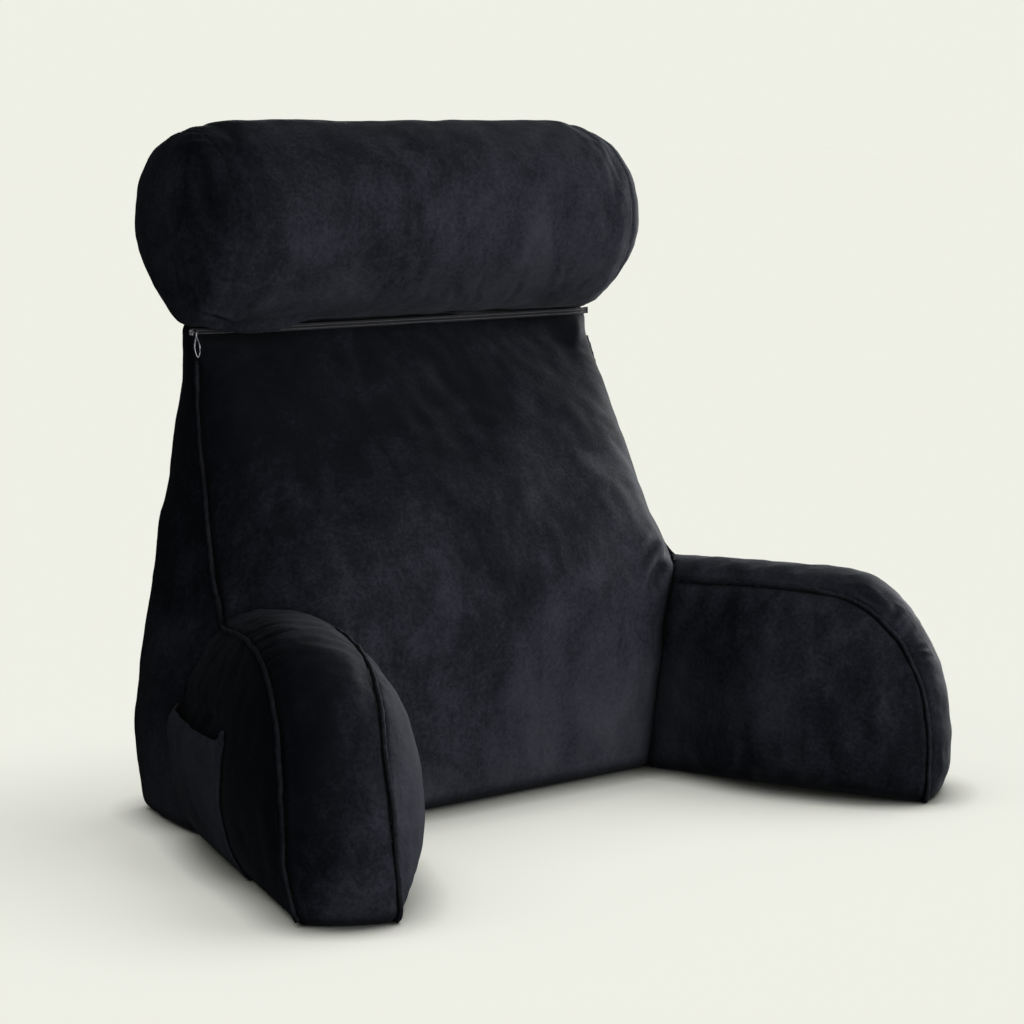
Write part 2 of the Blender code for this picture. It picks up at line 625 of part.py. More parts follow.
def zip_bail():
    """The slider's small arch that holds the pull."""
    points = []
    for i in range(9):
        angle = math.pi * i / 8
        x = SLIDER_X - BAIL_HALF_WIDTH * math.cos(angle)
        y = slider_face_y() + BAIL_FOOT - BAIL_STAND * math.sqrt(math.sin(angle))
        points.append(Vector((x, y, ZIP_MIDDLE_Z)))
    return tube("zip_bail", points, BAIL_RADIUS)


def zip_pull():
    """The pull: a drop-shaped wire loop, one strand behind the bail and one before it."""
    bail_y = slider_face_y() + BAIL_FOOT - BAIL_STAND
    path = []
    for i in range(PULL_STEPS):
        angle = 2 * math.pi * i / PULL_STEPS
        drop = (1 - math.cos(angle)) / 2
        sway = math.sin(angle)
        width = PULL_HALF_WIDTH * mix(PULL_TOP_SHARE, 1.0, smooth_step(0.0, 0.75, drop))
        spread = max(-1.0, min(1.0, 2.2 * sway)) * (1 - smooth_step(0.15, 0.6, drop))
        y = bail_y + PULL_SPREAD * spread - PULL_LEAN * drop
        z = ZIP_MIDDLE_Z + PULL_TOP_LIFT - (PULL_LENGTH - 2 * PULL_WIRE_RADIUS) * drop
        path.append(Vector((SLIDER_X + width * sway, y, z)))
    return tube("zip_pull", path, PULL_WIRE_RADIUS, cyclic=True)


# ---------------------------------------------------------------- assembly
def clear_scene():
    """Start from an empty scene."""
    for item in list(bpy.data.objects):
        bpy.data.objects.remove(item)


def new_collection(name):
    """Collection linked to the scene."""
    collection = bpy.data.collections.new(name)
    bpy.context.scene.collection.children.link(collection)
    return collection


def add(collection, piece, material):
    """Put a piece in its collection with its material."""
    piece.data.materials.clear()
    piece.data.materials.append(material)
    collection.objects.link(piece)
    return piece


def add_cutter(collection, piece):
    """Put a cutter in its collection, shown as wire only."""
    piece.hide_render = True
    piece.display_type = "WIRE"
    collection.objects.link(piece)
    return piece


def build():
    """Make every piece and put it in its collection."""
    clear_scene()
    parts = new_collection("reading_pillow")
    cutters = new_collection("cutters")
    velvet = finish("velvet", VELVET, 0.95)
    piping = finish("piping_velvet", PIPING_VELVET, 0.95)
    nylon = finish("zip_nylon", ZIP_NYLON, 0.6)
    metal = finish("zip_metal", ZIP_METAL, 0.4, 0.6)

    back = add(parts, loft("back_cushion", [back_section(z) for z in back_levels()]), velvet)
    back_cutter = add_cutter(cutters, grown_copy(back, "back_cutter", CUT_GAP))
    combine(back, add_cutter(cutters, neck_roll("roll_cutter", CUT_GAP)), "DIFFERENCE")
    add(parts, neck_roll("neck_roll"), velvet)
    for arm in ARM_ROWS:
        body = add(parts, arm_body(arm), velvet)
        combine(body, add_cutter(cutters, joint_cutter(arm)), "DIFFERENCE")
        combine(body, back_cutter, "DIFFERENCE")
        for panel in (INNER, OUTER):
            strand = tube(f"piping_{arm.name}_{panel.name}", arm_piping_path(arm, panel), PIPING_RADIUS)
            add(parts, strand, piping)
        word = arm.name.removeprefix("arm_")
        add(parts, tube("piping_side_" + word, side_seam_path(arm.side), PIPING_RADIUS), piping)
    add(parts, pocket(ARM_ROWS[0]), velvet)
    add(parts, zip_tape(), nylon)
    add(parts, zip_teeth(), nylon)
    combine(add(parts, zip_slider(), metal), add_cutter(cutters, zip_bail()), "UNION")
    add(parts, zip_pull(), metal)


build()
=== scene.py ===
import logging
import math
from dataclasses import dataclass, field
from typing import Iterable, Optional, Sequence

import bmesh
import bpy
import numpy as np
from mathutils import Matrix, Vector
from mathutils.bvhtree import BVHTree


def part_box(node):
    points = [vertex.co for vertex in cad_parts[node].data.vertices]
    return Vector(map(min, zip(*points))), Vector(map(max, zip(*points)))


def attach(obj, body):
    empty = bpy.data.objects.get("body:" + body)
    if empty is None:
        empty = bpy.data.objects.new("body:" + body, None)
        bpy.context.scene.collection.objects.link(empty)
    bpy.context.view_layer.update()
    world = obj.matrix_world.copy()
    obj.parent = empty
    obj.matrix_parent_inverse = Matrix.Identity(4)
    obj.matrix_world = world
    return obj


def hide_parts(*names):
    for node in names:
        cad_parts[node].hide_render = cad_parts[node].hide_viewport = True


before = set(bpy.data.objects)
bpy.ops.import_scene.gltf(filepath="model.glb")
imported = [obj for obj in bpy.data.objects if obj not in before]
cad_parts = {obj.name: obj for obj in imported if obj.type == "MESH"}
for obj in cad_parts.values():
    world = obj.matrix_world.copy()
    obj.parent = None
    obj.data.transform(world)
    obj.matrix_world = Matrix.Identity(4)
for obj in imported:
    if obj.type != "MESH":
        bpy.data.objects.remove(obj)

Point = tuple[float, float, float]
Colour = tuple[float, float, float]
Array = np.ndarray
Sizes = tuple[float, ...]
Mesh = bpy.types.Mesh
Piece = bpy.types.Object
Socket = bpy.types.NodeSocket

LOG = logging.getLogger("reading_pillow")
BODY = "root"
FRONT_EDGE_Y = 0.0041  # the front panel's bottom edge lies this far behind the origin
TABLE_UNIT = 10000  # the tables of seams and folds are in tenths of a millimetre
PATH_CHUNK = 3000  # points that near_path measures at a time
SPLINE_CUTS = 24  # points that even_path puts between two corners before it evens them out


# ---------------------------------------------------------------- small tools
def assign(target: object, **values: object) -> None:
    """Set several attributes of one thing."""
    for name, value in values.items():
        setattr(target, name, value)


def tenths(*points: tuple[int, int, int]) -> tuple[Point, ...]:
    """Points in metres, from ones in tenths of a millimetre."""
    return tuple(tuple(value / TABLE_UNIT for value in point) for point in points)


def smooth_step(low: float, high: float, value: Array | float) -> Array | float:
    """Rise softly from 0 at low to 1 at high.

    Args:
        low: Value where the rise starts.
        high: Value where it ends.
        value: Number or array of numbers.

    Returns:
        The height of the rise at each value.
    """
    share = np.clip((value - low) / (high - low), 0.0, 1.0)
    return share * share * (3 - 2 * share)


def hump(distance: Array, width: float) -> Array:
    """Soft bell that is 1 at no distance and about a third one width away."""
    return np.exp(-(distance / width) ** 2)


def soft_random(places: Array, length: float, seed: int, waves: int = 22) -> Array:
    """Smooth random field about as high as 1, made of crossing waves.

    Args:
        places: Points, one a row.
        length: Length over which the field changes, in metres.
        seed: Seed that gives the same field each run.
        waves: How many waves cross.

    Returns:
        The field's height at each point.
    """
    source = np.random.default_rng(seed)
    directions = source.normal(size=(waves, 3))
    directions /= np.linalg.norm(directions, axis=1)[:, None]
    pitch = length * source.uniform(0.7, 1.6, size=waves)
    phase = source.uniform(0, 2 * math.pi, size=waves)
    field_sum = np.zeros(len(places))
    for direction, step, start in zip(directions, pitch, phase):
        field_sum += np.sin(places @ direction * (2 * math.pi / step) + start)
    return field_sum / math.sqrt(waves / 2)


def even_path(points: Iterable[Point], step: float = 0.001) -> Array:
    """Smooth curve through points, cut into even steps.

    Args:
        points: Points that the curve goes through.
        step: Distance between two points of the result.

    Returns:
        The curve's points, one a row.
    """
    corners = np.array([tuple(point) for point in points], float)
    padded = np.vstack([2 * corners[0] - corners[1], corners, 2 * corners[-1] - corners[-2]])
    share = np.linspace(0, 1, SPLINE_CUTS, endpoint=False)[:, None]
    dense = []
    for before, start, end, after in zip(padded, padded[1:], padded[2:], padded[3:]):
        dense.append(0.5 * (2 * start + (end - before) * share
                            + (2 * before - 5 * start + 4 * end - after) * share ** 2
                            + (3 * start - before - 3 * end + after) * share ** 3))
    curve = np.vstack(dense + [corners[-1:]])
    lengths = np.concatenate([[0.0], np.cumsum(np.linalg.norm(np.diff(curve, axis=0), axis=1))])
    count = max(3, int(round(lengths[-1] / step)) + 1)
    even = np.linspace(0, lengths[-1], count)
    return np.column_stack([np.interp(even, lengths, curve[:, axis]) for axis in range(3)])


def near_path(path: Array, places: Array, reach: float) -> tuple[Array, Array, Array]:
    """Find the points that lie near a path.

    Args:
        path: The path's points, one a row.
        places: Points to look through, one a row.
        reach: Greatest distance that counts as near.

    Returns:
        Indices of the near points, their distances, and the index of each one's nearest path point.
    """
    inside = np.all((places > path.min(0) - reach) & (places < path.max(0) + reach), axis=1)
    candidates = np.flatnonzero(inside)
    distances = np.empty(len(candidates))
    nearest = np.empty(len(candidates), int)
    for start in range(0, len(candidates), PATH_CHUNK):
        part = candidates[start:start + PATH_CHUNK]
        squares = ((places[part][:, None, :] - path[None, :, :]) ** 2).sum(2)
        index = squares.argmin(1)
        nearest[start:start + PATH_CHUNK] = index
        distances[start:start + PATH_CHUNK] = np.sqrt(squares[np.arange(len(part)), index])
    kept = distances < reach
    return candidates[kept], distances[kept], nearest[kept]


def link(piece: Piece) -> Piece:
    """Put an object in the scene."""
    bpy.context.scene.collection.objects.link(piece)
    return piece


def object_from(name: str, bm: bmesh.types.BMesh) -> Piece:
    """Smooth-shaded object made from a bmesh, which is freed."""
    mesh = bpy.data.meshes.new(name)
    bm.to_mesh(mesh)
    bm.free()
    mesh.shade_smooth()
    return link(bpy.data.objects.new(name, mesh))


def bmesh_of(*meshes: Mesh) -> bmesh.types.BMesh:
    """One bmesh of copies of meshes."""
    bm = bmesh.new()
    for mesh in meshes:
        bm.from_mesh(mesh)
    return bm


def tree_of(mesh: Mesh) -> BVHTree:
    """Search tree over a mesh's faces."""
    bm = bmesh_of(mesh)
    tree = BVHTree.FromBMesh(bm)
    bm.free()
    return tree


def rows_of(items: object, key: str, width: int = 3, kind: type = float) -> Array:
    """Values of one key of a mesh's items, an item a row."""
    values = np.empty(len(items) * width, kind)
    items.foreach_get(key, values)
    return values.reshape(-1, width)


def evaluated(piece: Piece) -> Piece:
    """The object as its modifiers leave it."""
    return piece.evaluated_get(bpy.context.evaluated_depsgraph_get())


def modify(piece: Piece, kind: str, **settings: object) -> bpy.types.Modifier:
    """Give an object a modifier with these settings."""
    modifier = piece.modifiers.new(kind.lower(), kind)
    assign(modifier, **settings)
    return modifier


def apply_modifiers(piece: Piece) -> None:
    """Bake an object's modifiers into its mesh."""
    baked = bpy.data.meshes.new_from_object(evaluated(piece))
    piece.modifiers.clear()
    old, piece.data = piece.data, baked
    bpy.data.meshes.remove(old)


def dress(piece: Piece, material: bpy.types.Material, stands_for: Sequence[str] = ()) -> Piece:
    """Give a finished piece its material, its body and the CAD nodes that it stands for.

    Args:
        piece: The finished piece.
        material: Its material.
        stands_for: CAD nodes that it replaces.

    Returns:
        The same piece.
    """
    piece.data.materials.clear()
    piece.data.materials.append(material)
    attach(piece, BODY)
    if stands_for:
        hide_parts(*stands_for)
    faces = sum(len(polygon.vertices) - 2 for polygon in piece.data.polygons)
    LOG.info("%s: %d triangles", piece.name, faces)
    return piece


# ---------------------------------------------------------------- finishes
class NodeBoard:
    """Shader nodes of one material, added and joined by short calls."""

    def __init__(self, name: str) -> None:
        """Start a material that holds only its output.

        Args:
            name: The material's name.
        """
        self.material = bpy.data.materials.new(name)
        self.material.use_nodes = True
        self.tree = self.material.node_tree
        self.tree.nodes.clear()
        self.output = self.tree.nodes.new("ShaderNodeOutputMaterial")

    def add(self, kind: str, values: Optional[dict] = None, links: Optional[dict] = None,
            **settings: object) -> bpy.types.Node:
        """Add a node.

        Args:
            kind: The node's type, without its ShaderNode prefix.
            values: Input names or indices and their plain values.
            links: Input names or indices and the output sockets that feed them.
            **settings: The node's own properties.

        Returns:
            The new node.
        """
        node = self.tree.nodes.new("ShaderNode" + kind)
        for key, value in settings.items():
            setattr(node, key, value)
        for key, value in (values or {}).items():
            node.inputs[key].default_value = value
        for key, socket in (links or {}).items():
            self.tree.links.new(socket, node.inputs[key])
        return node

    def noise(self, place: Socket, scale: float, detail: float, roughness: float = 0.55,
              distortion: float = 0.0) -> Socket:
        """Noise texture on a place socket, as a grey socket."""
        node = self.add("TexNoise", {"Scale": scale, "Detail": detail, "Roughness": roughness,
                                     "Distortion": distortion}, {"Vector": place})
        return node.outputs["Fac"]

    def turned(self, place: Socket, scale: Point, turn: Point) -> Socket:
        """Place socket stretched and turned by a Mapping node."""
        node = self.add("Mapping", {"Scale": scale, "Rotation": turn}, {"Vector": place})
        return node.outputs["Vector"]

    def maths(self, operation: str, first: Socket | float, second: Socket | float) -> Socket:
        """Math node on two sockets or numbers."""
        node = self.add("Math", operation=operation)
        for index, value in enumerate((first, second)):
            if isinstance(value, Socket):
                self.tree.links.new(value, node.inputs[index])
            else:
                node.inputs[index].default_value = value
        return node.outputs[0]

    def weighted(self, first: Socket, share: float, second: Socket, other: float) -> Socket:
        """Sum of two sockets, each times its share."""
        return self.maths("ADD", self.maths("MULTIPLY", first, share), self.maths("MULTIPLY", second, other))

    def vector(self, operation: str, values: dict, links: dict) -> bpy.types.Node:
        """Vector Math node."""
        return self.add("VectorMath", values, links, operation=operation)

    def ramp(self, factor: Socket, stops: Iterable[tuple[float, Colour]]) -> Socket:
        """Colour ramp through (position, colour) stops, as a colour socket."""
        node = self.add("ValToRGB", links={"Fac": factor})
        elements = node.color_ramp.elements
        stops = list(stops)
        while len(elements) < len(stops):
            elements.new(0.5)
        for element, (position, colour) in zip(elements, stops):
            element.position = position
            element.color = (*colour, 1.0)
        return node.outputs["Color"]

    def bump(self, height: Socket, strength: float, distance: float,
             below: Optional[Socket] = None) -> Socket:
        """Bump node over an earlier one, as a normal socket."""
        links = {"Height": height}
        if below is not None:
            links["Normal"] = below
        return self.add("Bump", {"Strength": strength, "Distance": distance}, links).outputs["Normal"]

    def finish(self, shader: bpy.types.Node) -> bpy.types.Material:
        """Join the shader to the output and return the material."""
        self.tree.links.new(shader.outputs[0], self.output.inputs["Surface"])
        return self.material


@dataclass(frozen=True)
class VelvetFinish:
    """Short-pile velvet: near-black navy, brushed into lighter and darker patches, with a cool sheen, painted
    light and shade that slope over each piece and painted shade in its hollows.
    """

    name: str = "navy_velvet"
    slot: str = "velvet"
    # The ramp's darker and lighter naps are reached both by the random nap patches and by the painted light
    # and shade added to the tone.
    nap_flat: Colour = (0.0012, 0.0017, 0.0034)
    nap_down: Colour = (0.0027, 0.0034, 0.0057)
    nap_middle: Colour = (0.0090, 0.0102, 0.0150)
    nap_up: Colour = (0.0228, 0.0246, 0.0330)
    nap_proud: Colour = (0.0380, 0.0400, 0.0500)
    sheen: float = 0.030
    sheen_roughness: float = 0.50
    sheen_tint: Colour = (0.84, 0.92, 1.0)
    stops: Sizes = (0.45, 0.59, 0.70, 0.83, 0.98)  # where along the ramp the five naps sit
    roughness: float = 0.8
    specular: float = 0.08
    patch_scale: float = 7.5
    brush_scale: float = 30.0
    brush_stretch: Point = (1.0, 1.0, 0.42)
    brush_turn: Point = (0.35, 0.2, 0.1)
    grain_scale: float = 260.0
    pile_scale: float = 720.0
    shares: Sizes = (0.56, 0.36, 0.30, 0.18)  # of patches, brushed strokes, grain and pile in the tone
    relief: tuple[Sizes, ...] = ((0.13, 0.003), (0.35, 0.0008), (0.35, 0.0005))  # of lean, grain and pile
    hollow: float = 0.016  # painted shade: how close another surface must be for the colour to be painted darker
    painted_hollow_shade: float = 1.4  # how much darker the painted shade makes it there
    painted_light_slope: Point = (0.0, 0.0, 0.0)  # painted light and shade: how much lighter the colour is painted per metre along x, y and z
    painted_light_origin: Point = (0.0, 0.0, 0.0)  # where the painted light leaves it neither lighter nor darker
    painted_light_lift: float = 0.0  # painted light: how much lighter the whole piece is painted

    def material(self) -> bpy.types.Material:
        """Build the velvet's material, patterned on Object coordinates."""
        board = NodeBoard(self.name)
        place = board.add("TexCoord").outputs["Object"]
        patches = board.noise(place, self.patch_scale, 4.0, 0.6, 0.7)
        strokes = board.turned(place, self.brush_stretch, self.brush_turn)
        brushed = board.noise(strokes, self.brush_scale, 5.0, 0.62, 0.5)
        grain = board.noise(place, self.grain_scale, 3.0, 0.65)
        pile = board.noise(place, self.pile_scale, 2.0, 0.6)
        of_patches, of_brushing, of_grain, of_pile = self.shares
        lean = board.weighted(patches, of_patches, brushed, of_brushing)
        fine = board.weighted(grain, of_grain, pile, of_pile)
        # Painted light and shade: a slope over the piece and a lift over all of it are added to the tone,
        # making the colour lighter or darker to stand in for how the light falls.
        away = board.vector("SUBTRACT", {1: self.painted_light_origin}, {0: place}).outputs["Vector"]
        slope = board.vector("DOT_PRODUCT", {1: self.painted_light_slope}, {0: away}).outputs["Value"]
        painted_light_tone = board.maths("ADD", slope, self.painted_light_lift)
        naps = (self.nap_flat, self.nap_down, self.nap_middle, self.nap_up, self.nap_proud)
        tone = board.maths("ADD", board.maths("ADD", lean, fine), painted_light_tone)
        colour = board.ramp(tone, zip(self.stops, naps))
        # Painted shade: the colour is darkened where another surface lies close, in creases, seams and
        # hollows.
        painted_shade_ao = board.add("AmbientOcclusion", {"Distance": self.hollow}, samples=4).outputs["AO"]
        shade = board.maths("POWER", painted_shade_ao, self.painted_hollow_shade)
        colour = board.vector("SCALE", {}, {0: colour, "Scale": shade}).outputs["Vector"]
        normal = None
        for height, relief in zip((lean, grain, pile), self.relief):
            normal = board.bump(height, *relief, normal)
        shader = board.add("BsdfPrincipled", {
            "Roughness": self.roughness, "Specular IOR Level": self.specular,
            "Sheen Weight": self.sheen, "Sheen Roughness": self.sheen_roughness,
            "Sheen Tint": (*self.sheen_tint, 1.0)}, {"Base Color": colour, "Normal": normal})
        return board.finish(shader)


@dataclass(frozen=True)
class NylonFinish:
    """Dark nylon of the zip's tape, teeth and threads, with a fine twill."""

    name: str
    dark: Colour
    light: Colour
    roughness: float
    relief: float = 0.3
    specular: float = 0.4
    twill_scale: float = 900.0
    twill_turn: Point = (0.0, 0.78, 0.0)
    wear_scale: float = 160.0
    slot: str = "zip_nylon"

    def material(self) -> bpy.types.Material:
        """Build the nylon's material, patterned on Object coordinates."""
        board = NodeBoard(self.name)
        place = board.add("TexCoord").outputs["Object"]
        twill = board.add("TexWave", {"Scale": self.twill_scale, "Distortion": 0.6, "Detail": 1.0},
                          {"Vector": board.turned(place, (1, 1, 1), self.twill_turn)}).outputs["Fac"]
        wear = board.noise(place, self.wear_scale, 4.0)
        colour = board.ramp(board.weighted(twill, 0.5, wear, 0.5), [(0.3, self.dark), (0.7, self.light)])
        shader = board.add("BsdfPrincipled", {
            "Roughness": self.roughness, "Specular IOR Level": self.specular}, {
            "Base Color": colour, "Normal": board.bump(twill, self.relief, 0.0002)})
        return board.finish(shader)


@dataclass(frozen=True)
class MetalFinish:
    """Dark plated metal of the slider and its pull, worn a little lighter."""

    name: str = "plated_zip_metal"
    dark: Colour = (0.05, 0.05, 0.06)
    light: Colour = (0.25, 0.25, 0.27)
    metallic: float = 0.9
    polish: float = 0.22  # roughness where it isn't worn
    wear_scale: float = 420.0
    wear_roughness: float = 0.25  # how much rougher it is where it is worn
    relief: Sizes = (0.2, 0.0002)
    slot: str = "zip_metal"

    def material(self) -> bpy.types.Material:
        """Build the metal's material, patterned on Object coordinates."""
        board = NodeBoard(self.name)
        place = board.add("TexCoord").outputs["Object"]
        wear = board.noise(place, self.wear_scale, 5.0, 0.7)
        colour = board.ramp(wear, [(0.35, self.dark), (0.65, self.light)])
        rough = board.maths("ADD", board.maths("MULTIPLY", wear, self.wear_roughness), self.polish)
        shader = board.add("BsdfPrincipled", {"Metallic": self.metallic}, {
            "Base Color": colour, "Roughness": rough, "Normal": board.bump(wear, *self.relief)})
        return board.finish(shader)


@dataclass(frozen=True)
class FloorFinish:
    """Pale seamless paper, as bright as the backdrop where nothing shades it, with a painted contact shadow
    that darkens its glow close to the pillow.
    """

    name: str = "seamless_paper"
    colour: Colour = (0.863, 0.867, 0.791)
    glow: float = 0.30  # share of its light that is a glow, which a painted contact shadow darkens close to a piece
    painted_contact_reach: float = 0.035  # how close a piece must be for that painted contact shadow

    def material(self) -> bpy.types.Material:
        """Build the floor's material."""
        board = NodeBoard(self.name)
        matt = (value * (1 - self.glow) for value in self.colour)
        paper = board.add("BsdfDiffuse", {"Color": (*matt, 1.0)})
        # Painted contact shadow: the floor's glow is darkened close to the pillow.
        painted_shade_ao = board.add("AmbientOcclusion", {"Distance": self.painted_contact_reach}, samples=8).outputs["AO"]
        strength = board.maths("MULTIPLY", board.maths("POWER", painted_shade_ao, 2.0), self.glow)
        glow = board.add("Emission", {"Color": (*self.colour, 1.0)}, {"Strength": strength})
        return board.finish(board.add("AddShader", links={0: paper.outputs[0], 1: glow.outputs[0]}))


# ---------------------------------------------------------------- covers
class Cover:
    """Sewn cover of one filled piece: a copy of its CAD node's mesh whose points are moved in code."""

    SMOOTHING = (0.55, -0.56)  # shares of the way to the neighbours' mean, there and back
    LAID_ROUNDS = 12  # how often a line laid on the cover is evened out
    WELD = 0.00001  # CAD points closer than this are one
    FOLD_STEP = 0.002  # distance between two points of a fold's line
    FOLD_END, FOLD_SPAN = 0.06, 0.88  # the part of a half wave that a fold's depth follows
    BANK_AWAY = 2.1  # how many widths from a fold its banks stand

    def __init__(self, node: str, name: str, voxel: float) -> None:
        """Copy a CAD node and remesh the copy evenly.

        Args:
            node: The CAD node that the cover stands for.
            name: The new piece's name.
            voxel: The remesh's step in metres.
        """
        bm = bmesh_of(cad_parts[node].data)
        bmesh.ops.remove_doubles(bm, verts=bm.verts, dist=self.WELD)
        self.piece = object_from(name, bm)
        modify(self.piece, "REMESH", mode="VOXEL", voxel_size=voxel, use_smooth_shade=True)
        apply_modifiers(self.piece)
        self.read()

    def read(self) -> None:
        """Take the points, edges and normals from the mesh."""
        mesh = self.piece.data
        self.places = rows_of(mesh.vertices, "co")
        self.starts, self.ends = rows_of(mesh.edges, "vertices", 2, int).T
        self.degree = np.bincount(np.concatenate([self.starts, self.ends]), minlength=len(self.places))
        self.take_normals()

    def take_normals(self) -> None:
        """Take the normals from the mesh as it stands."""
        self.normals = self.spread(rows_of(self.piece.data.vertex_normals, "vector"), 3)
        self.normals /= np.linalg.norm(self.normals, axis=1)[:, None]

    def write(self) -> None:
        """Put the points back into the mesh and renew the normals."""
        self.places[:, 2] = np.maximum(self.places[:, 2], 0.0)
        self.piece.data.vertices.foreach_set("co", self.places.ravel())
        self.piece.data.update()
        self.take_normals()

    def mean(self, values: Array) -> Array:
        """Mean of each point's neighbours, from values with a row a point."""
        result = np.empty_like(values)
        for column in range(values.shape[1]):
            result[:, column] = (
                np.bincount(self.starts, values[self.ends, column], len(values))
                + np.bincount(self.ends, values[self.starts, column], len(values))) / self.degree
        return result

    def spread(self, values: Array, rounds: int) -> Array:
        """Smooth values over the surface."""
        for _ in range(rounds):
            values = 0.5 * values + 0.5 * self.mean(values)
        return values

    def relax(self, rounds: int, held: Array) -> None:
        """Smooth the surface without shrinking it.

        Args:
            rounds: How often it is smoothed.
            held: 1 for a point that stays, 0 for one that is free.
        """
        free = (1 - held)[:, None]
        for _ in range(rounds):
            for factor in self.SMOOTHING:
                self.places += factor * free * (self.mean(self.places) - self.places)

    def draw_to(self, path: Array, reach: float) -> None:
        """Draw the points beside a seam onto its line, over a strip as wide as the reach."""
        index, distance, nearest = near_path(path, self.places, reach * 2)
        self.places[index] += hump(distance, reach)[:, None] * (path[nearest] - self.places[index])

    def below(self, low: float, high: float) -> Array:
        """1 for a point no higher than low, fading to 0 for one at high or above."""
        return 1 - smooth_step(low, high, self.places[:, 2])

    def held_by(self, paths: Iterable[Array], reach: float) -> Array:
        """How firmly seams hold each point.

        Args:
            paths: The seams' lines.
            reach: Distance over which a seam's hold fades.

        Returns:
            1 on a seam and 0 away from all of them.
        """
        held = np.zeros(len(self.places))
        for path in paths:
            index, distance, _ = near_path(path, self.places, reach * 3)
            held[index] = np.maximum(held[index], hump(distance, reach))
        return held

    def laid(self, path: Array, lift: float = 0.0) -> Array:
        """Lay a line onto the cover as its mesh stands.

        Args:
            path: The line.
            lift: How far the result lies off the cover.

        Returns:
            The line's points on the cover, evened out along it.
        """
        tree = tree_of(self.piece.data)
        found = [tree.find_nearest(Vector(place)) for place in path]
        result = np.array([tuple(spot + normal * lift) for spot, normal, _, _ in found])
        for _ in range(self.LAID_ROUNDS):
            result[1:-1] = 0.5 * result[1:-1] + 0.25 * (result[:-2] + result[2:])
        return result

    def near_node(self, node: str, reach: float) -> Array:
        """How close each point lies to a CAD node.

        Args:
            node: The CAD node.
            reach: Distance over which the closeness fades.

        Returns:
            1 for a point that touches the node and 0 for one that is away from it.
        """
        tree = tree_of(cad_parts[node].data)
        close = np.zeros(len(self.places))
        low, high = (np.array(corner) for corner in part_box(node))
        inside = (self.places > low - 2 * reach) & (self.places < high + 2 * reach)
        for index in np.flatnonzero(np.all(inside, axis=1)):
            found = tree.find_nearest(Vector(self.places[index]), 2 * reach)
            if found[3] is not None:
                close[index] = math.exp(-(found[3] / reach) ** 2)
        return close

    def push(self, index: Array | slice, amount: Array) -> None:
        """Move points out along their normals, each by its own amount."""
        self.places[index] += self.normals[index] * amount[:, None]

    def groove(self, path: Array, depth: float, width: float, lip: float = 0.0) -> None:
        """Sink a seam's line into the cover.

        Args:
            path: The seam's line.
            depth: How deep it lies.
            width: How wide the hollow is, from its middle.
            lip: How high the cloth stands on both sides of it.
        """
        index, distance, _ = near_path(path, self.places, width * 4)
        self.push(index, lip * hump(distance - 2 * width, width) - depth * hump(distance, width))

    def make_room(self, path: Array, radius: float) -> None:
        """Press the cloth back until it lies no closer than the radius to a strand's centre line."""
        index, distance, nearest = near_path(path, self.places, radius)
        away = (self.places[index] - path[nearest]) / np.maximum(distance, 1e-5)[:, None]
        self.places[index] += away * (radius - distance)[:, None]

    def tuck_under(self, height: float, depth: float) -> None:
        """Round the cover's sides in towards its base.

        Args:
            height: Height at which the rounding starts.
            depth: How far the base's edge is set back.
        """
        rise = np.clip(self.places[:, 2] / height, 0.0, 1.0)
        amount = depth * (1 - np.sqrt(np.maximum(1 - (1 - rise) ** 2, 0.0)))
        flat = self.normals.copy()
        flat[:, 2] = 0.0
        self.places -= flat * amount[:, None]

    def crease(self, fold: "Fold") -> None:
        """Press one fold into the cover, or raise it where its depth is negative."""
        path = even_path(fold.line, self.FOLD_STEP)
        index, distance, nearest = near_path(path, self.places, fold.width * 4)
        along = nearest / (len(path) - 1)
        wave = np.sin(math.pi * (self.FOLD_END + self.FOLD_SPAN * along))
        fade = np.clip(wave, 0.0, 1.0) ** fold.end_power
        bank = fold.bank * hump(distance - self.BANK_AWAY * fold.width, fold.width)
        self.push(index, fade * (bank - fold.depth * hump(distance, fold.width)))

    def gather(self, rows: "Gathers", path: Array, inward: Optional[Array]) -> None:
        """Draw small folds into the cloth where it is eased onto a seam.

        Args:
            rows: The gathers' sizes.
            path: The seam's line.
            inward: Direction of the side that takes the gathers, or None where both sides do.
        """
        index, distance, nearest = near_path(path, self.places, rows.length * 2)
        along = nearest / (len(path) - 1)
        if inward is not None:
            side = ((self.places[index] - path[nearest]) @ inward)
            distance = distance + np.where(side < 0, rows.length * 2, 0.0)
        travel = nearest * np.linalg.norm(path[1] - path[0])
        line = travel[:, None] * np.array([1.0, 0.0, 0.0])
        phase = travel * (2 * math.pi / rows.pitch) + 1.6 * soft_random(line, rows.pitch * 4, rows.seed)
        height = 0.6 + 0.5 * soft_random(line, rows.pitch * 3, rows.seed + 1)
        window = smooth_step(rows.start - rows.fade, rows.start, along) * (
            1 - smooth_step(rows.end, rows.end + rows.fade, along))
        profile = hump(distance - rows.offset, rows.length * 0.6)
        self.push(index, rows.height * window * height * np.sin(phase) * profile)

    def settle(self, uneven: Iterable[tuple[float, float, int]], held: Array | float,
               folds: Iterable["Fold"]) -> None:
        """Let the filling stand a little unevenly under the cloth, and press the folds in.

        Args:
            uneven: Height, length and seed of each layer of unevenness.
            held: 1 for a point that doesn't follow the filling.
            folds: The folds.
        """
        for height, length, seed in uneven:
            self.push(slice(None), height * soft_random(self.places, length, seed) * (1 - held))
        for fold in folds:
            self.crease(fold)

    def subdivide(self) -> None:
        """Divide every face once, smoothly."""
        self.write()
        modify(self.piece, "SUBSURF", levels=1, render_levels=1)
        apply_modifiers(self.piece)
        self.read()

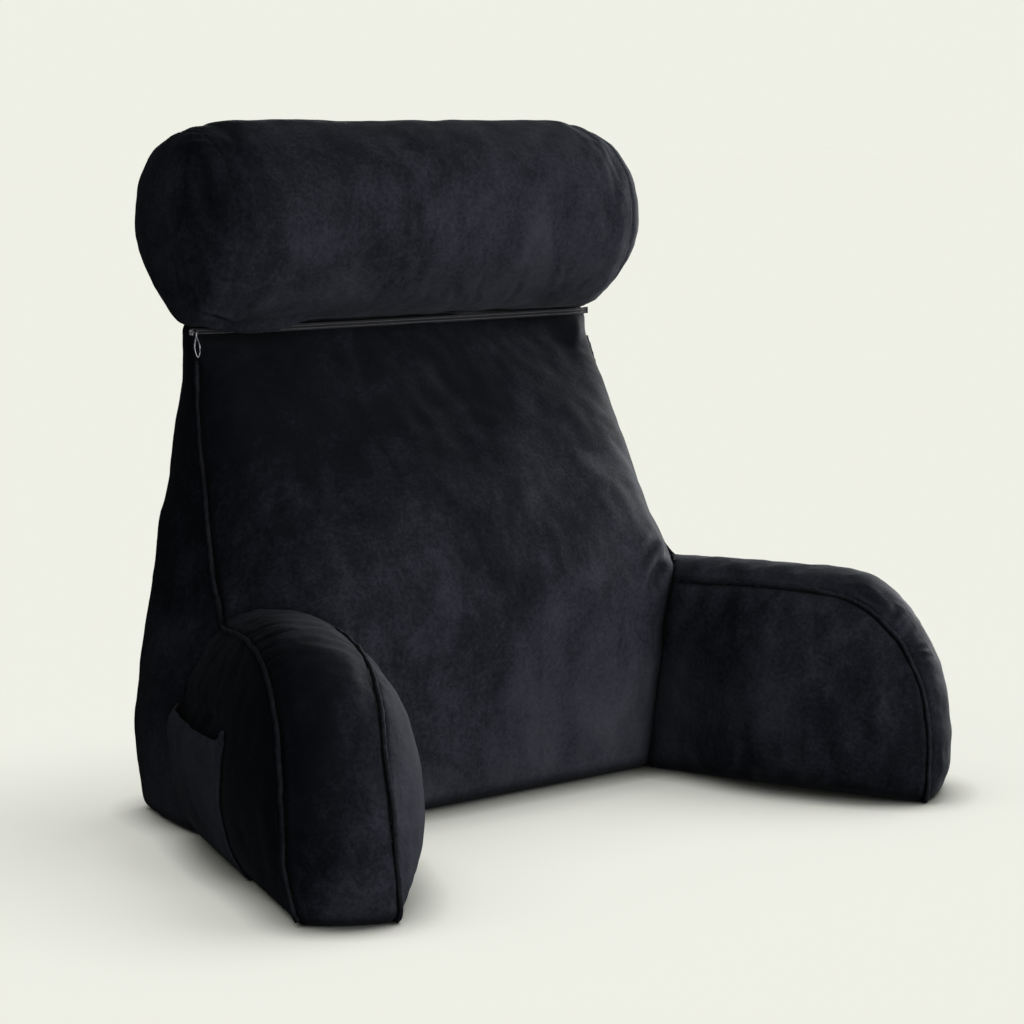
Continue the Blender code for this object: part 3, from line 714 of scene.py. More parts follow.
    def swell(self, held: Array, cap: float, filling: "Filling") -> None:
        """Blow the cover up by cloth simulation and keep a share of its wrinkles and of its swelling.

        Args:
            held: 1 for a point that the sewing or a neighbour holds.
            cap: Farthest that a point may move.
            filling: The cloth's and the filling's settings.
        """
        self.write()
        group = self.piece.vertex_groups.new(name="held")
        for level in range(1, filling.levels + 1):
            chosen = np.flatnonzero(np.round(held * filling.levels) == level)
            group.add([int(i) for i in chosen], level / filling.levels, "REPLACE")
        cloth = modify(self.piece, "CLOTH")
        assign(cloth.settings, quality=filling.quality, mass=filling.mass, tension_stiffness=filling.tension,
               compression_stiffness=filling.compression, shear_stiffness=filling.shear,
               bending_stiffness=filling.bending, shrink_min=-filling.slack, use_pressure=True,
               uniform_pressure_force=filling.pressure, vertex_group_mass=group.name)
        cloth.settings.effector_weights.gravity = 0.0
        cloth.collision_settings.use_collision = False
        assign(cloth.point_cache, frame_start=1, frame_end=filling.frames)
        for number in range(1, filling.frames + 1):
            bpy.context.scene.frame_set(number)
        moved = rows_of(evaluated(self.piece).data.vertices, "co")
        self.piece.modifiers.clear()
        self.piece.vertex_groups.clear()
        bpy.context.scene.frame_set(1)
        out = ((moved - self.places) * self.normals).sum(1)
        broad = self.spread(out[:, None], filling.spread_rounds)[:, 0]
        amount = filling.kept_wrinkles * (out - broad) + filling.kept_swelling * broad
        amount = np.clip(amount, -cap, cap) * (1 - held)
        LOG.info("%s: swelled %.1f mm at most", self.piece.name, 1000 * np.abs(amount).max())
        self.push(slice(None), amount)
        self.write()


@dataclass(frozen=True)
class Filling:
    """Settings of the cloth simulation, and what is kept of it."""

    pressure: float = 4.0
    frames: int = 20
    slack: float = 0.02  # share by which the cloth is larger than the form
    quality: int = 6
    mass: float = 0.25
    tension: float = 20.0
    compression: float = 12.0
    shear: float = 5.0
    bending: float = 1.2
    levels: int = 10  # steps of the weight with which points are held
    spread_rounds: int = 60  # smoothing that tells the broad swelling from the wrinkles
    kept_wrinkles: float = 0.40
    kept_swelling: float = 0.20


@dataclass(frozen=True)
class Fold:
    """One listed fold: a line on the cover, its depth and width, and the banks beside it."""

    line: tuple[Point, ...]
    depth: float
    width: float
    bank: float
    end_power: float = 0.7  # lower where the fold's ends fade over a shorter way


def folds_from(*rows: tuple) -> tuple[Fold, ...]:
    """Make folds from a table in tenths of a millimetre.

    Args:
        *rows: Each fold's line, depth, width and bank, and its end_power where it isn't the usual one.

    Returns:
        The folds, in metres.
    """
    return tuple(Fold(tenths(*line), *tenths(sizes[:3])[0], *sizes[3:]) for line, *sizes in rows)


@dataclass(frozen=True)
class Gathers:
    """A run of small folds along a seam, between two shares of its length."""

    start: float
    end: float
    pitch: float
    height: float
    length: float
    seed: int
    fade: float = 0.05
    offset: float = 0.003  # how far from the seam they are highest


class Strand:
    """Round strand along a line, such as piping, made as a bevelled curve and then a mesh."""

    SIDES = 3  # resolution of the bevel

    def __init__(self, name: str, path: Array, radius: float, closed: bool = False) -> None:
        """Make the strand.

        Args:
            name: The piece's name.
            path: Its centre line.
            radius: Its radius.
            closed: Whether its ends are joined.
        """
        curve = bpy.data.curves.new(name, "CURVE")
        assign(curve, dimensions="3D", bevel_depth=radius, bevel_resolution=self.SIDES,
               use_fill_caps=not closed)
        spline = curve.splines.new("POLY")
        spline.points.add(len(path) - 1)
        for point, place in zip(spline.points, path):
            point.co = (*place, 1.0)
        spline.use_cyclic_u = closed
        source = link(bpy.data.objects.new(name + "_line", curve))
        bpy.context.view_layer.update()
        mesh = bpy.data.meshes.new_from_object(evaluated(source))
        bpy.data.objects.remove(source)
        bpy.data.curves.remove(curve)
        bm = bmesh_of(mesh)
        bpy.data.meshes.remove(mesh)
        bmesh.ops.remove_doubles(bm, verts=bm.verts, dist=0.000005)
        bmesh.ops.recalc_face_normals(bm, faces=bm.faces)
        self.piece = object_from(name, bm)


def add_bead(bm: bmesh.types.BMesh, place: Matrix, size: Point) -> None:
    """Add a small ball with these radii at a place."""
    bmesh.ops.create_icosphere(bm, subdivisions=1, radius=1.0, matrix=place @ Matrix.Diagonal((*size, 1.0)))


class StitchRow:
    """Row of short thread stitches that sit on a line."""

    PITCH = 0.0034
    THREAD = (0.0011, 0.0003, 0.0003)  # a stitch's half length and its radius

    def __init__(self, name: str, path: Array, outward: Vector) -> None:
        """Make the stitches.

        Args:
            name: The piece's name.
            path: The row's line on the cloth.
            outward: The cloth's outward direction.
        """
        line = even_path(path, self.PITCH)
        bm = bmesh.new()
        for before, after in zip(line, line[1:]):
            start, end = Vector(before), Vector(after)
            along = (end - start).normalized()
            side = along.cross(outward).normalized()
            turn = Matrix((along, side, side.cross(along))).transposed().to_4x4()
            place = Matrix.Translation((start + end) / 2) @ turn
            add_bead(bm, place, self.THREAD)
        self.piece = object_from(name, bm)


# ---------------------------------------------------------------- back and neck roll
@dataclass
class Back:
    """The filled wedge of the back, its front panel's piped side seams and its plain rear seams."""

    voxel: float = 0.005
    piping_radius: float = 0.0022
    piping_room: float = 0.0003
    piping_seat: float = 0.0006
    draw: float = 0.004  # strip beside a side seam that is drawn onto it
    hold: Sizes = (0.003, 0.006)  # reach of the seams' hold in smoothing and in swelling
    rounds: int = 14
    base: Sizes = (0.004, 0.012)  # heights between which the base lets go of the cloth
    zip_hold: Sizes = (0.385, 0.405)  # heights between which the zip takes hold of it
    cap: float = 0.006  # farthest that the swelling may go
    tuck: Sizes = (0.012, 0.005)  # height and depth of the base's rounding
    groove: Sizes = (0.0022, 0.0035, 0.0004)  # a side seam's depth, width and lip
    rear_groove: Sizes = (0.0018, 0.0030, 0.0006)
    quiet: Sizes = (0.004, 0.030)  # heights between which the filling starts to stand unevenly
    uneven: tuple[tuple, ...] = ((0.0010, 0.110, 11), (0.00035, 0.035, 12))  # height, length and seed
    seam: tuple[Point, ...] = tenths(
        (2515, 551, 1770), (2455, 681, 1900), (2410, 846, 2100), (2333, 1044, 2500), (2269, 1228, 3000),
        (2200, 1412, 3500), (2148, 1500, 3820))
    piping: tuple[Point, ...] = tenths(
        (2556, 500, 1766), (2508, 605, 1841), (2481, 670, 1900), (2437, 836, 2100), (2360, 1035, 2500),
        (2317, 1158, 2827), (2296, 1219, 3000), (2264, 1311, 3240), (2227, 1403, 3500), (2207, 1434, 3605),
        (2174, 1476, 3765), (2160, 1507, 3880))
    rear_seam: tuple[Point, ...] = tenths(
        (2671, 1632, 0), (2726, 1706, 600), (2692, 1732, 1000), (2606, 1749, 1500), (2486, 1761, 2000),
        (2394, 1772, 2500), (2282, 1792, 3000), (2149, 1812, 3500), (2062, 1836, 4000), (2025, 1845, 4200))
    folds: tuple[Fold, ...] = folds_from(
        # The fold where the front panel is drawn in beside the right arm, and the cloth next to it.
        (((2051, 201, 1970), (1809, -10, 1920), (1670, -90, 1816), (1552, -133, 1614)), 42, 55, 22),
        (((1860, 130, 2115), (1729, 52, 2050), (1599, -3, 2006)), 18, 45, 8),
        # Small creases that run from the zip's ends.
        (((-2085, 1521, 4050), (-1874, 1480, 4040), (-1563, 1465, 4015), (-1384, 1385, 3960)), 13, 26, 9),
        (((-2089, 1500, 4000), (-1923, 1413, 3970), (-1703, 1364, 3915), (-1608, 1322, 3880)), 13, 28, 9),
        (((-2086, 1474, 3949), (-1964, 1396, 3930), (-1830, 1322, 3880)), 9, 26, 6),
        (((2024, 1479, 4054), (1928, 1375, 3950), (1808, 1270, 3821)), -22, 60, 0),
    )

    def side_lines(self, points: tuple[Point, ...]) -> list[Array]:
        """A line of the right side and its mirror image."""
        line = even_path(points)
        return [line, line * np.array([-1.0, 1.0, 1.0])]

    def build(self, velvet: VelvetFinish, piping: VelvetFinish) -> list[Piece]:
        """Make the back's cover and its two side pipings.

        Args:
            velvet: The cover's finish.
            piping: The piping's finish.

        Returns:
            The finished pieces.
        """
        cover = Cover("back_cushion", "back_cover", self.voxel)
        seams = self.side_lines(self.seam)
        rear = self.side_lines(self.rear_seam)
        for line in seams:
            cover.draw_to(line, self.draw)
        low = cover.below(*self.base)
        held = np.maximum(cover.held_by(seams + rear, self.hold[1]), low)
        zip_near = smooth_step(*self.zip_hold, cover.places[:, 2])
        cover.relax(self.rounds, np.maximum(cover.held_by(seams, self.hold[0]), np.maximum(low, zip_near)))
        cover.swell(np.maximum(held, zip_near), self.cap, Filling())
        cover.subdivide()
        cover.tuck_under(*self.tuck)
        cover.write()
        cords = [cover.laid(line, self.piping_seat) for line in self.side_lines(self.piping)]
        for lines, sizes in ((seams, self.groove), (rear, self.rear_groove)):
            for line in lines:
                cover.groove(line, *sizes)
        cover.settle(self.uneven, cover.below(*self.quiet), self.folds)
        for line in cords:
            cover.make_room(line, self.piping_radius + self.piping_room)
        cover.write()
        pieces = [dress(cover.piece, velvet.material(), ["back_cushion"])]
        lines = {f"piping_side_{word}": line for word, line in zip(("right", "left"), cords)}
        return pieces + pipings(lines, self.piping_radius, piping)


@dataclass
class NeckRoll:
    """The filled neck roll with its two round ends, sewn on with plain seams."""

    voxel: float = 0.0042
    hold: Sizes = (0.002, 0.006)  # reach of the seams' hold in smoothing and in swelling
    rounds: int = 16
    base: Sizes = (0.425, 0.440)  # heights between which the back lets go of the cloth
    base_hold: float = 0.6  # how firmly the back holds it in smoothing
    cap: float = 0.005
    groove: Sizes = (0.0010, 0.0012, 0.0002)
    gathers: Gathers = Gathers(0.05, 0.95, 0.011, 0.00015, 0.016, 21)
    uneven: tuple[tuple, ...] = ((0.0004, 0.090, 13), (0.0003, 0.030, 14))
    axis_y: float = 0.1611
    axis_z: float = 0.504
    seam_x: float = 0.213
    seam_radius: float = 0.0795
    drawn_down: float = 0.008  # how far the zip draws the seam's bottom down
    down_angle: float = 25.0  # and over what angle, in degrees
    drawn_forward: float = 0.0046
    forward_angle: float = 70.0
    folds: tuple[Fold, ...] = folds_from(
        (((-2275, 1307, 4319), (-2141, 1254, 4274), (-1970, 1311, 4228), (-1755, 1435, 4185)), 16, 28, 11),
        (((-2223, 1265, 4294), (-2043, 1255, 4255), (-1829, 1313, 4215)), 12, 24, 10),
        (((-2424, 1643, 4951), (-2404, 1658, 4721), (-2367, 1560, 4487), (-2295, 1441, 4278)), 12, 50, 6),
        (((-2415, 1430, 4832), (-2387, 1421, 4621), (-2338, 1378, 4427), (-2280, 1383, 4281)), 8, 36, 5),
        (((-2400, 1309, 4795), (-2364, 1295, 4584), (-2316, 1285, 4415), (-2265, 1343, 4274)), 6, 32, 4),
        (((-2261, 1495, 5750), (-2198, 1370, 5775), (-2137, 1276, 5759)), 12, 30, 8),
        (((-2220, 1189, 5668), (-2314, 1135, 5463), (-2322, 1002, 5177)), 16, 60, 6),
        (((187, 918, 4509), (237, 1003, 4414), (314, 1123, 4315)), 10, 35, 5),
        (((470, 956, 4461), (490, 1043, 4375), (566, 1176, 4283)), 11, 32, 6),
        (((938, 871, 4574), (922, 983, 4434), (950, 1171, 4286)), 11, 35, 6),
        (((1475, 773, 4788), (1411, 839, 4632), (1426, 1003, 4414)), 9, 45, 4),
        (((1040, 738, 5071), (977, 760, 4848), (965, 831, 4647)), 7, 55, 3),
        (((-2124, 809, 4964), (-2042, 784, 4979), (-1974, 768, 4994)), 9, 28, 4),
        # The right end's lower corner, drawn in to the zip, and the cloth over the zip's left part.
        (((2320, 1000, 4600), (2222, 1222, 4328), (2220, 1331, 4252), (2190, 1430, 4195)), 55, 120, 0, 0.5),
        (((1950, 1500, 4170), (2140, 1500, 4172)), -20, 60, 0),
        (((-2120, 1375, 4206), (-1700, 1370, 4206), (-1150, 1370, 4206)), -105, 58, 0),
    )

    def end_seam(self, side: int) -> Array:
        """Line of the seam round one end.

        Args:
            side: 1 for the right end, -1 for the left one.

        Returns:
            The seam's points, one a row.
        """
        turn = np.linspace(0, 2 * math.pi, 121)
        from_bottom = np.degrees(math.pi - np.abs(turn - math.pi))
        reach = self.seam_radius + self.drawn_down * hump(from_bottom, self.down_angle)
        y = self.axis_y + reach * np.sin(turn) - self.drawn_forward * hump(from_bottom, self.forward_angle)
        z = self.axis_z - reach * np.cos(turn)
        return even_path(np.column_stack([np.full(len(turn), side * self.seam_x), y, z]))

    def build(self, velvet: VelvetFinish) -> list[Piece]:
        """Make the roll's cover.

        Args:
            velvet: The cover's finish.

        Returns:
            The finished pieces.
        """
        cover = Cover("neck_roll", "neck_roll_cover", self.voxel)
        seams = [self.end_seam(side) for side in (1, -1)]
        low = cover.below(*self.base)
        cover.relax(self.rounds, np.maximum(cover.held_by(seams, self.hold[0]), self.base_hold * low))
        cover.swell(np.maximum(cover.held_by(seams, self.hold[1]), low), self.cap, Filling())
        cover.subdivide()
        for line in seams:
            cover.groove(line, *self.groove)
            cover.gather(self.gathers, line, None)
        cover.settle(self.uneven, 0.0, self.folds)
        cover.write()
        return [dress(cover.piece, velvet.material(), ["neck_roll"])]


class Piping(Strand):
    """Velvet-wrapped piping cord, sewn in a little unevenly."""

    STEP = 0.0022
    WANDER = 0.00025  # how far it strays from its line
    THICKNESS = ((0.07, 0.006, 5), (0.05, 0.002, 0))  # share of the radius, length, seed

    def __init__(self, name: str, path: Array, radius: float) -> None:
        """Make the piping.

        Args:
            name: The piece's name.
            path: Its centre line.
            radius: Its radius.
        """
        line = even_path(path, self.STEP)
        seed = sum(ord(letter) for letter in name)
        count = np.arange(len(line))
        fade = np.clip(np.minimum(count, count[::-1]) / 4, 0, 1)
        stray = np.column_stack([soft_random(line, 0.03, seed + axis) for axis in range(3)])
        line = line + self.WANDER * fade[:, None] * stray
        line[:, 2] = np.maximum(line[:, 2], radius * 0.3)
        super().__init__(name, line, radius)
        mesh = self.piece.data
        places = rows_of(mesh.vertices, "co")
        swell = sum(share * radius * soft_random(places, length, seed + more)
                    for share, length, more in self.THICKNESS)
        places += rows_of(mesh.vertex_normals, "vector") * swell[:, None]
        places[:, 2] = np.maximum(places[:, 2], 0.0)
        mesh.vertices.foreach_set("co", places.ravel())
        mesh.update()


def pipings(lines: dict[str, Array], radius: float, finish: VelvetFinish) -> list[Piece]:
    """Make the pipings of one cover.

    Args:
        lines: The CAD node and the centre line of each one.
        radius: Their radius.
        finish: Their finish, made into one material.

    Returns:
        The finished pieces.
    """
    material = finish.material()
    return [dress(Piping(node + "_strand", line, radius).piece, material, [node])
            for node, line in lines.items()]


# ---------------------------------------------------------------- arms
@dataclass(frozen=True)
class Panel:
    """One side panel of an arm: its boxing seam's place across and along the arm."""

    name: str
    side: int
    seam_w: float
    lean: float
    flare: float
    tuck: float
    set_back: float
    foot_s: float
    lift: float
    piping_start: float


INNER = Panel("inner", -1, 0.1535, 0.07, 0.0, 0.0, 0.0, -0.001, 0.0, 0.262)
OUTER = Panel("outer", 1, 0.240, 0.0, 0.012, 0.008, 1.0, 0.004, 0.002, 0.198)


@dataclass
class Arm:
    """One filled arm: two side panels, the boxing strip between them and the piping in its two seams."""

    name: str
    side: int
    top: float
    set_back: float
    folds: tuple[Fold, ...] = ()
    gathers: tuple[tuple[Panel, Gathers], ...] = ()
    voxel: float = 0.0045
    splay: float = math.radians(24.2)
    rear_s: float = -0.035
    round_s: float = 0.220
    front_s: float = 0.342
    round_z: float = 0.030
    round_power: float = 2.3
    rear_top: float = 0.176
    straight_end: float = 0.50
    round_end: float = 0.92
    piping_radius: float = 0.0020
    piping_room: float = 0.0003
    piping_seat: float = 0.0004
    draws: Sizes = (0.0035, 0.0022)  # strip beside a seam drawn onto it, before and after swelling
    hold: Sizes = (0.003, 0.006)  # reach of the seams' hold in smoothing and in swelling
    joint: Sizes = (0.006, 0.015, 0.012)  # reach of the back's: smoothing, swelling and unevenness
    rounds: int = 14
    base: Sizes = (0.003, 0.010)  # heights between which the base lets go of the cloth
    cap: float = 0.006
    tuck: Sizes = (0.012, 0.005)
    groove: Sizes = (0.0020, 0.0032, 0.0005)
    quiet: Sizes = (0.003, 0.025)
    uneven: tuple[tuple, ...] = ((0.0007, 0.080, 15), (0.00025, 0.026, 18))  # the side is added to the seed
    seam_pull: float = 0.0  # how far the filling has pulled the inner seam to the seat
    pull_heights: Sizes = (0.62, 0.90)  # shares of the top between which that starts
    pull_depths: Sizes = (0.06, 0.16)  # distances to the front between which it starts
    pull_down: float = 0.35  # how much of the pull also goes down
    cover: Optional[Cover] = field(default=None, init=False)

    def place(self, s: float, w: float, z: float) -> Point:
        """World point from a distance along the arm, a distance across it and a height."""
        x = s * math.sin(self.splay) + w * math.cos(self.splay)
        y = -s * math.cos(self.splay) + w * math.sin(self.splay)
        return self.side * x, y + FRONT_EDGE_Y, z

    def across(self) -> Array:
        """Unit direction across the arm, away from the seat."""
        return np.array([self.side * math.cos(self.splay), math.sin(self.splay), 0.0])

    def seam(self, panel: Panel, share: float) -> Point:
        """Find a point of a boxing seam.

        Args:
            panel: The panel whose seam it is.
            share: 0 at the rear, 1 where the seam's front reaches the floor.

        Returns:
            Distance along the arm, distance across it and height.
        """
        front = self.front_s - self.set_back * panel.set_back
        top = self.top + panel.lift
        if share <= self.straight_end:
            s = self.rear_s + (self.round_s - self.rear_s) * share / self.straight_end
            z = self.rear_top + (top - self.rear_top) * float(smooth_step(0.06, 0.19, s))
        elif share <= self.round_end:
            angle = math.pi / 2 * (share - self.straight_end) / (self.round_end - self.straight_end)
            power = 2 / self.round_power
            s = self.round_s + (front - self.round_s) * math.sin(angle) ** power
            z = self.round_z + (top - self.round_z) * max(math.cos(angle), 0.0) ** power
        else:
            down = (share - self.round_end) / (1 - self.round_end)
            s = front + panel.foot_s * down
            z = self.round_z * (1 - down)
        w = panel.seam_w + panel.lean * z + panel.flare * (1 - min(max(s, 0.0) / 0.30, 1.0) ** 2)
        return s, w - panel.tuck * (1 - float(smooth_step(0.0, 0.05, z))), z

    def seam_line(self, panel: Panel, start: float = 0.0) -> Array:
        """Line of a boxing seam.

        Args:
            panel: The panel whose seam it is.
            start: Share of the seam at which the line starts.

        Returns:
            The line's points, one a row.
        """
        return even_path([self.place(*self.seam(panel, share)) for share in np.linspace(start, 1.0, 49)])

    def moved(self, panel: Panel, line: Array) -> Array:
        """Move the inner seam's rounded part over towards the seat, where the filling has pulled it."""
        if panel is OUTER:
            return line
        height = line[:, 2] / self.top
        share = smooth_step(*self.pull_heights, height) * smooth_step(*self.pull_depths, -line[:, 1])
        return line - self.seam_pull * share[:, None] * (self.across() + np.array([0.0, 0.0, self.pull_down]))

    def firm(self, cover: Cover, seams: Iterable[Array], stage: int) -> Array:
        """How firmly the seams and the back hold each point: stage 0 in smoothing, 1 in swelling."""
        return np.maximum(cover.held_by(seams, self.hold[stage]),
                          cover.near_node("back_cushion", self.joint[stage]))

    def build(self, velvet: VelvetFinish, piping: VelvetFinish) -> list[Piece]:
        """Make the arm's cover and its two pipings.

        Args:
            velvet: The cover's finish.
            piping: The piping's finish.

        Returns:
            The finished pieces.
        """
        cover = Cover(self.name, self.name + "_cover", self.voxel)
        panels = (INNER, OUTER)
        seams = [self.seam_line(panel) for panel in panels]
        for line in seams:
            cover.draw_to(line, self.draws[0])
        low = cover.below(*self.base)
        cover.relax(self.rounds, np.maximum(low, self.firm(cover, seams, 0)))
        cover.swell(np.maximum(low, self.firm(cover, seams, 1)), self.cap, Filling())
        cover.subdivide()
        for line in seams:
            cover.draw_to(line, self.draws[1])
        cover.tuck_under(*self.tuck)
        cover.write()
        sewn = {panel: cover.laid(self.moved(panel, line)) for panel, line in zip(panels, seams)}
        cords = {}
        for panel in panels:
            line = self.moved(panel, self.seam_line(panel, panel.piping_start))
            cords[f"piping_{self.name}_{panel.name}"] = cover.laid(line, self.piping_seat)
        for line in sewn.values():
            cover.groove(line, *self.groove)
        quiet = np.maximum(cover.below(*self.quiet), cover.near_node("back_cushion", self.joint[2]))
        cover.settle([(*sizes, seed + self.side) for *sizes, seed in self.uneven], quiet, ())
        for panel, rows in self.gathers:
            cover.gather(rows, sewn[panel], -panel.side * self.across())
        for fold in self.folds:
            cover.crease(fold)
        for cord in cords.values():
            cover.make_room(cord, self.piping_radius + self.piping_room)
        cover.write()
        self.cover = cover
        pieces = [dress(cover.piece, velvet.material(), [self.name])]
        return pieces + pipings(cords, self.piping_radius, piping)


# ---------------------------------------------------------------- pocket
@dataclass
class Pocket:
    """Patch pocket on the left arm: a sheet with turned edges, a hem and a sagging, open mouth."""

    OUTSIDE = 0.40  # a distance across the arm that lies well outside it
    WIDTH = 0.155  # about how wide the pocket is

    arm: Arm
    edges: tuple[Point, ...] = (  # height, rear edge and front edge along the arm
        (0.000, 0.0790, 0.2077), (0.022, 0.0700, 0.2020), (0.045, 0.0580, 0.2020), (0.075, 0.0535, 0.2070),
        (0.100, 0.0560, 0.2115), (0.122, 0.0620, 0.2150))
    cloth: float = 0.0018
    stand: float = 0.0170  # how far the open mouth stands off the arm
    stand_power: Sizes = (0.7, 0.9)  # how fast that grows from the edges and from the bottom
    seat: float = 0.0005
    bottom_z: float = 0.0012
    mouth: tuple[tuple[float, float], ...] = (  # share of the width, height
        (0.0, 0.1120), (0.1, 0.1135), (0.2, 0.1155), (0.3, 0.1168), (0.4, 0.1168), (0.5, 0.1160),
        (0.6, 0.1151), (0.7, 0.1143), (0.8, 0.1137), (0.9, 0.1135), (1.0, 0.1140))
    ear: Sizes = (0.0100, 0.93)  # rise of the mouth's front corner, and where it starts
    pleat: float = 0.0006
    ridge: Sizes = (0.0011, 0.0018, 0.0016)  # height of a turned edge, its middle and its width
    hem: float = 0.0090
    hem_rise: float = 0.0007
    dents: Sizes = (0.0005, 0.0004)  # depth at the hem's stitches and at the edges'
    dent_width: float = 0.0012
    edge_stitch: float = 0.0045
    columns: int = 84
    rows: int = 64
    flat: tuple[float, float] = (0.160, 0.126)

    def point(self, u: float, v: float, off: float = 0.0) -> Vector:
        """Find a point of the pocket.

        Args:
            u: Share of the way from the rear edge to the front one.
            v: Share of the way from the bottom to the mouth.
            off: Distance in front of the cloth's back face.

        Returns:
            The point.
        """
        rise, start = self.ear
        mouth = float(np.interp(u, *zip(*self.mouth))) + rise * float(smooth_step(start, 1.0, u))
        z = self.bottom_z + (mouth - self.bottom_z) * v
        heights, rears, fronts = zip(*self.edges)
        rear, front = np.interp(z, heights, rears), np.interp(z, heights, fronts)
        inward = Vector(-self.arm.across())
        s = float(rear + (front - rear) * u)
        hit = self.tree.ray_cast(Vector(self.arm.place(s, self.OUTSIDE, z)), inward)[0]
        sideways, upwards = self.stand_power
        stand = self.stand * math.sin(math.pi * u) ** sideways * v ** upwards
        pleat = self.pleat * v * math.sin(math.pi * u) * math.sin(u * 21 + 1.2 * v + 0.8 * math.sin(9 * u))
        from_mouth = mouth - z
        from_edge = min(u, 1 - u) * (front - rear)
        height, middle, width = self.ridge
        ridge = height * math.exp(-((from_edge - middle) / width) ** 2)
        hem = self.hem_rise * float(1 - smooth_step(self.hem - 0.001, self.hem + 0.001, from_mouth))
        dent = sum(depth * math.exp(-(away / self.dent_width) ** 2)
                   for depth, away in zip(self.dents, (from_mouth - self.hem, from_edge - self.edge_stitch)))
        return hit - inward * (self.seat + stand + pleat + ridge + hem - dent + off)

    def row(self, name: str, places: Iterable[tuple[float, float]]) -> Piece:
        """Stitch row along places given as shares of the pocket's width and height."""
        line = np.array([tuple(self.point(u, v, self.cloth + 0.0001)) for u, v in places])
        return StitchRow(name, line, Vector(self.arm.across())).piece

    def build(self, velvet: VelvetFinish, thread: NylonFinish) -> list[Piece]:
        """Make the pocket and its stitching.

        Args:
            velvet: The pocket's finish.
            thread: The stitches' finish.

        Returns:
            The finished pieces.
        """
        self.tree = tree_of(self.arm.cover.piece.data)
        bm = bmesh.new()
        bmesh.ops.create_grid(bm, x_segments=self.columns, y_segments=self.rows, size=0.5)
        for vert in bm.verts:
            vert.co = self.point(vert.co.x + 0.5, vert.co.y + 0.5)
        bmesh.ops.recalc_face_normals(bm, faces=bm.faces)
        outward = Vector(self.arm.across())
        if sum((face.normal for face in bm.faces), Vector()).dot(outward) < 0:
            bmesh.ops.reverse_faces(bm, faces=bm.faces)
        piece = object_from("pocket_cloth", bm)
        modify(piece, "SOLIDIFY", thickness=self.cloth, offset=1.0)
        modify(piece, "BEVEL", width=self.cloth * 0.35, segments=2, limit_method="ANGLE",
               angle_limit=math.radians(50))
        apply_modifiers(piece)
        piece.data.shade_smooth()
        material = thread.material()
        hem = 1 - self.hem / self.mouth[-1][1]
        side = self.edge_stitch / self.WIDTH
        ups = np.linspace(0.03, 0.98, 20)
        stitches = [self.row(f"pocket_{word}_stitches", places) for word, places in (
            ("hem", [(u, hem) for u in np.linspace(0.03, 0.97, 24)]),
            ("rear", [(side, v) for v in ups]), ("front", [(1 - side, v) for v in ups]))]
        pieces = [dress(piece, velvet.material(), ["pocket"])]
        pieces += [dress(row, material) for row in stitches]
        return pieces


# ---------------------------------------------------------------- zip
def round_off(bm: bmesh.types.BMesh, edges: list[bmesh.types.BMEdge], offset: float, segments: int) -> None:
    """Round edges off by a bevel."""
    bmesh.ops.bevel(bm, geom=edges, offset=offset, offset_type="OFFSET", segments=segments, profile=0.5,
                    affect="EDGES", material=-1)


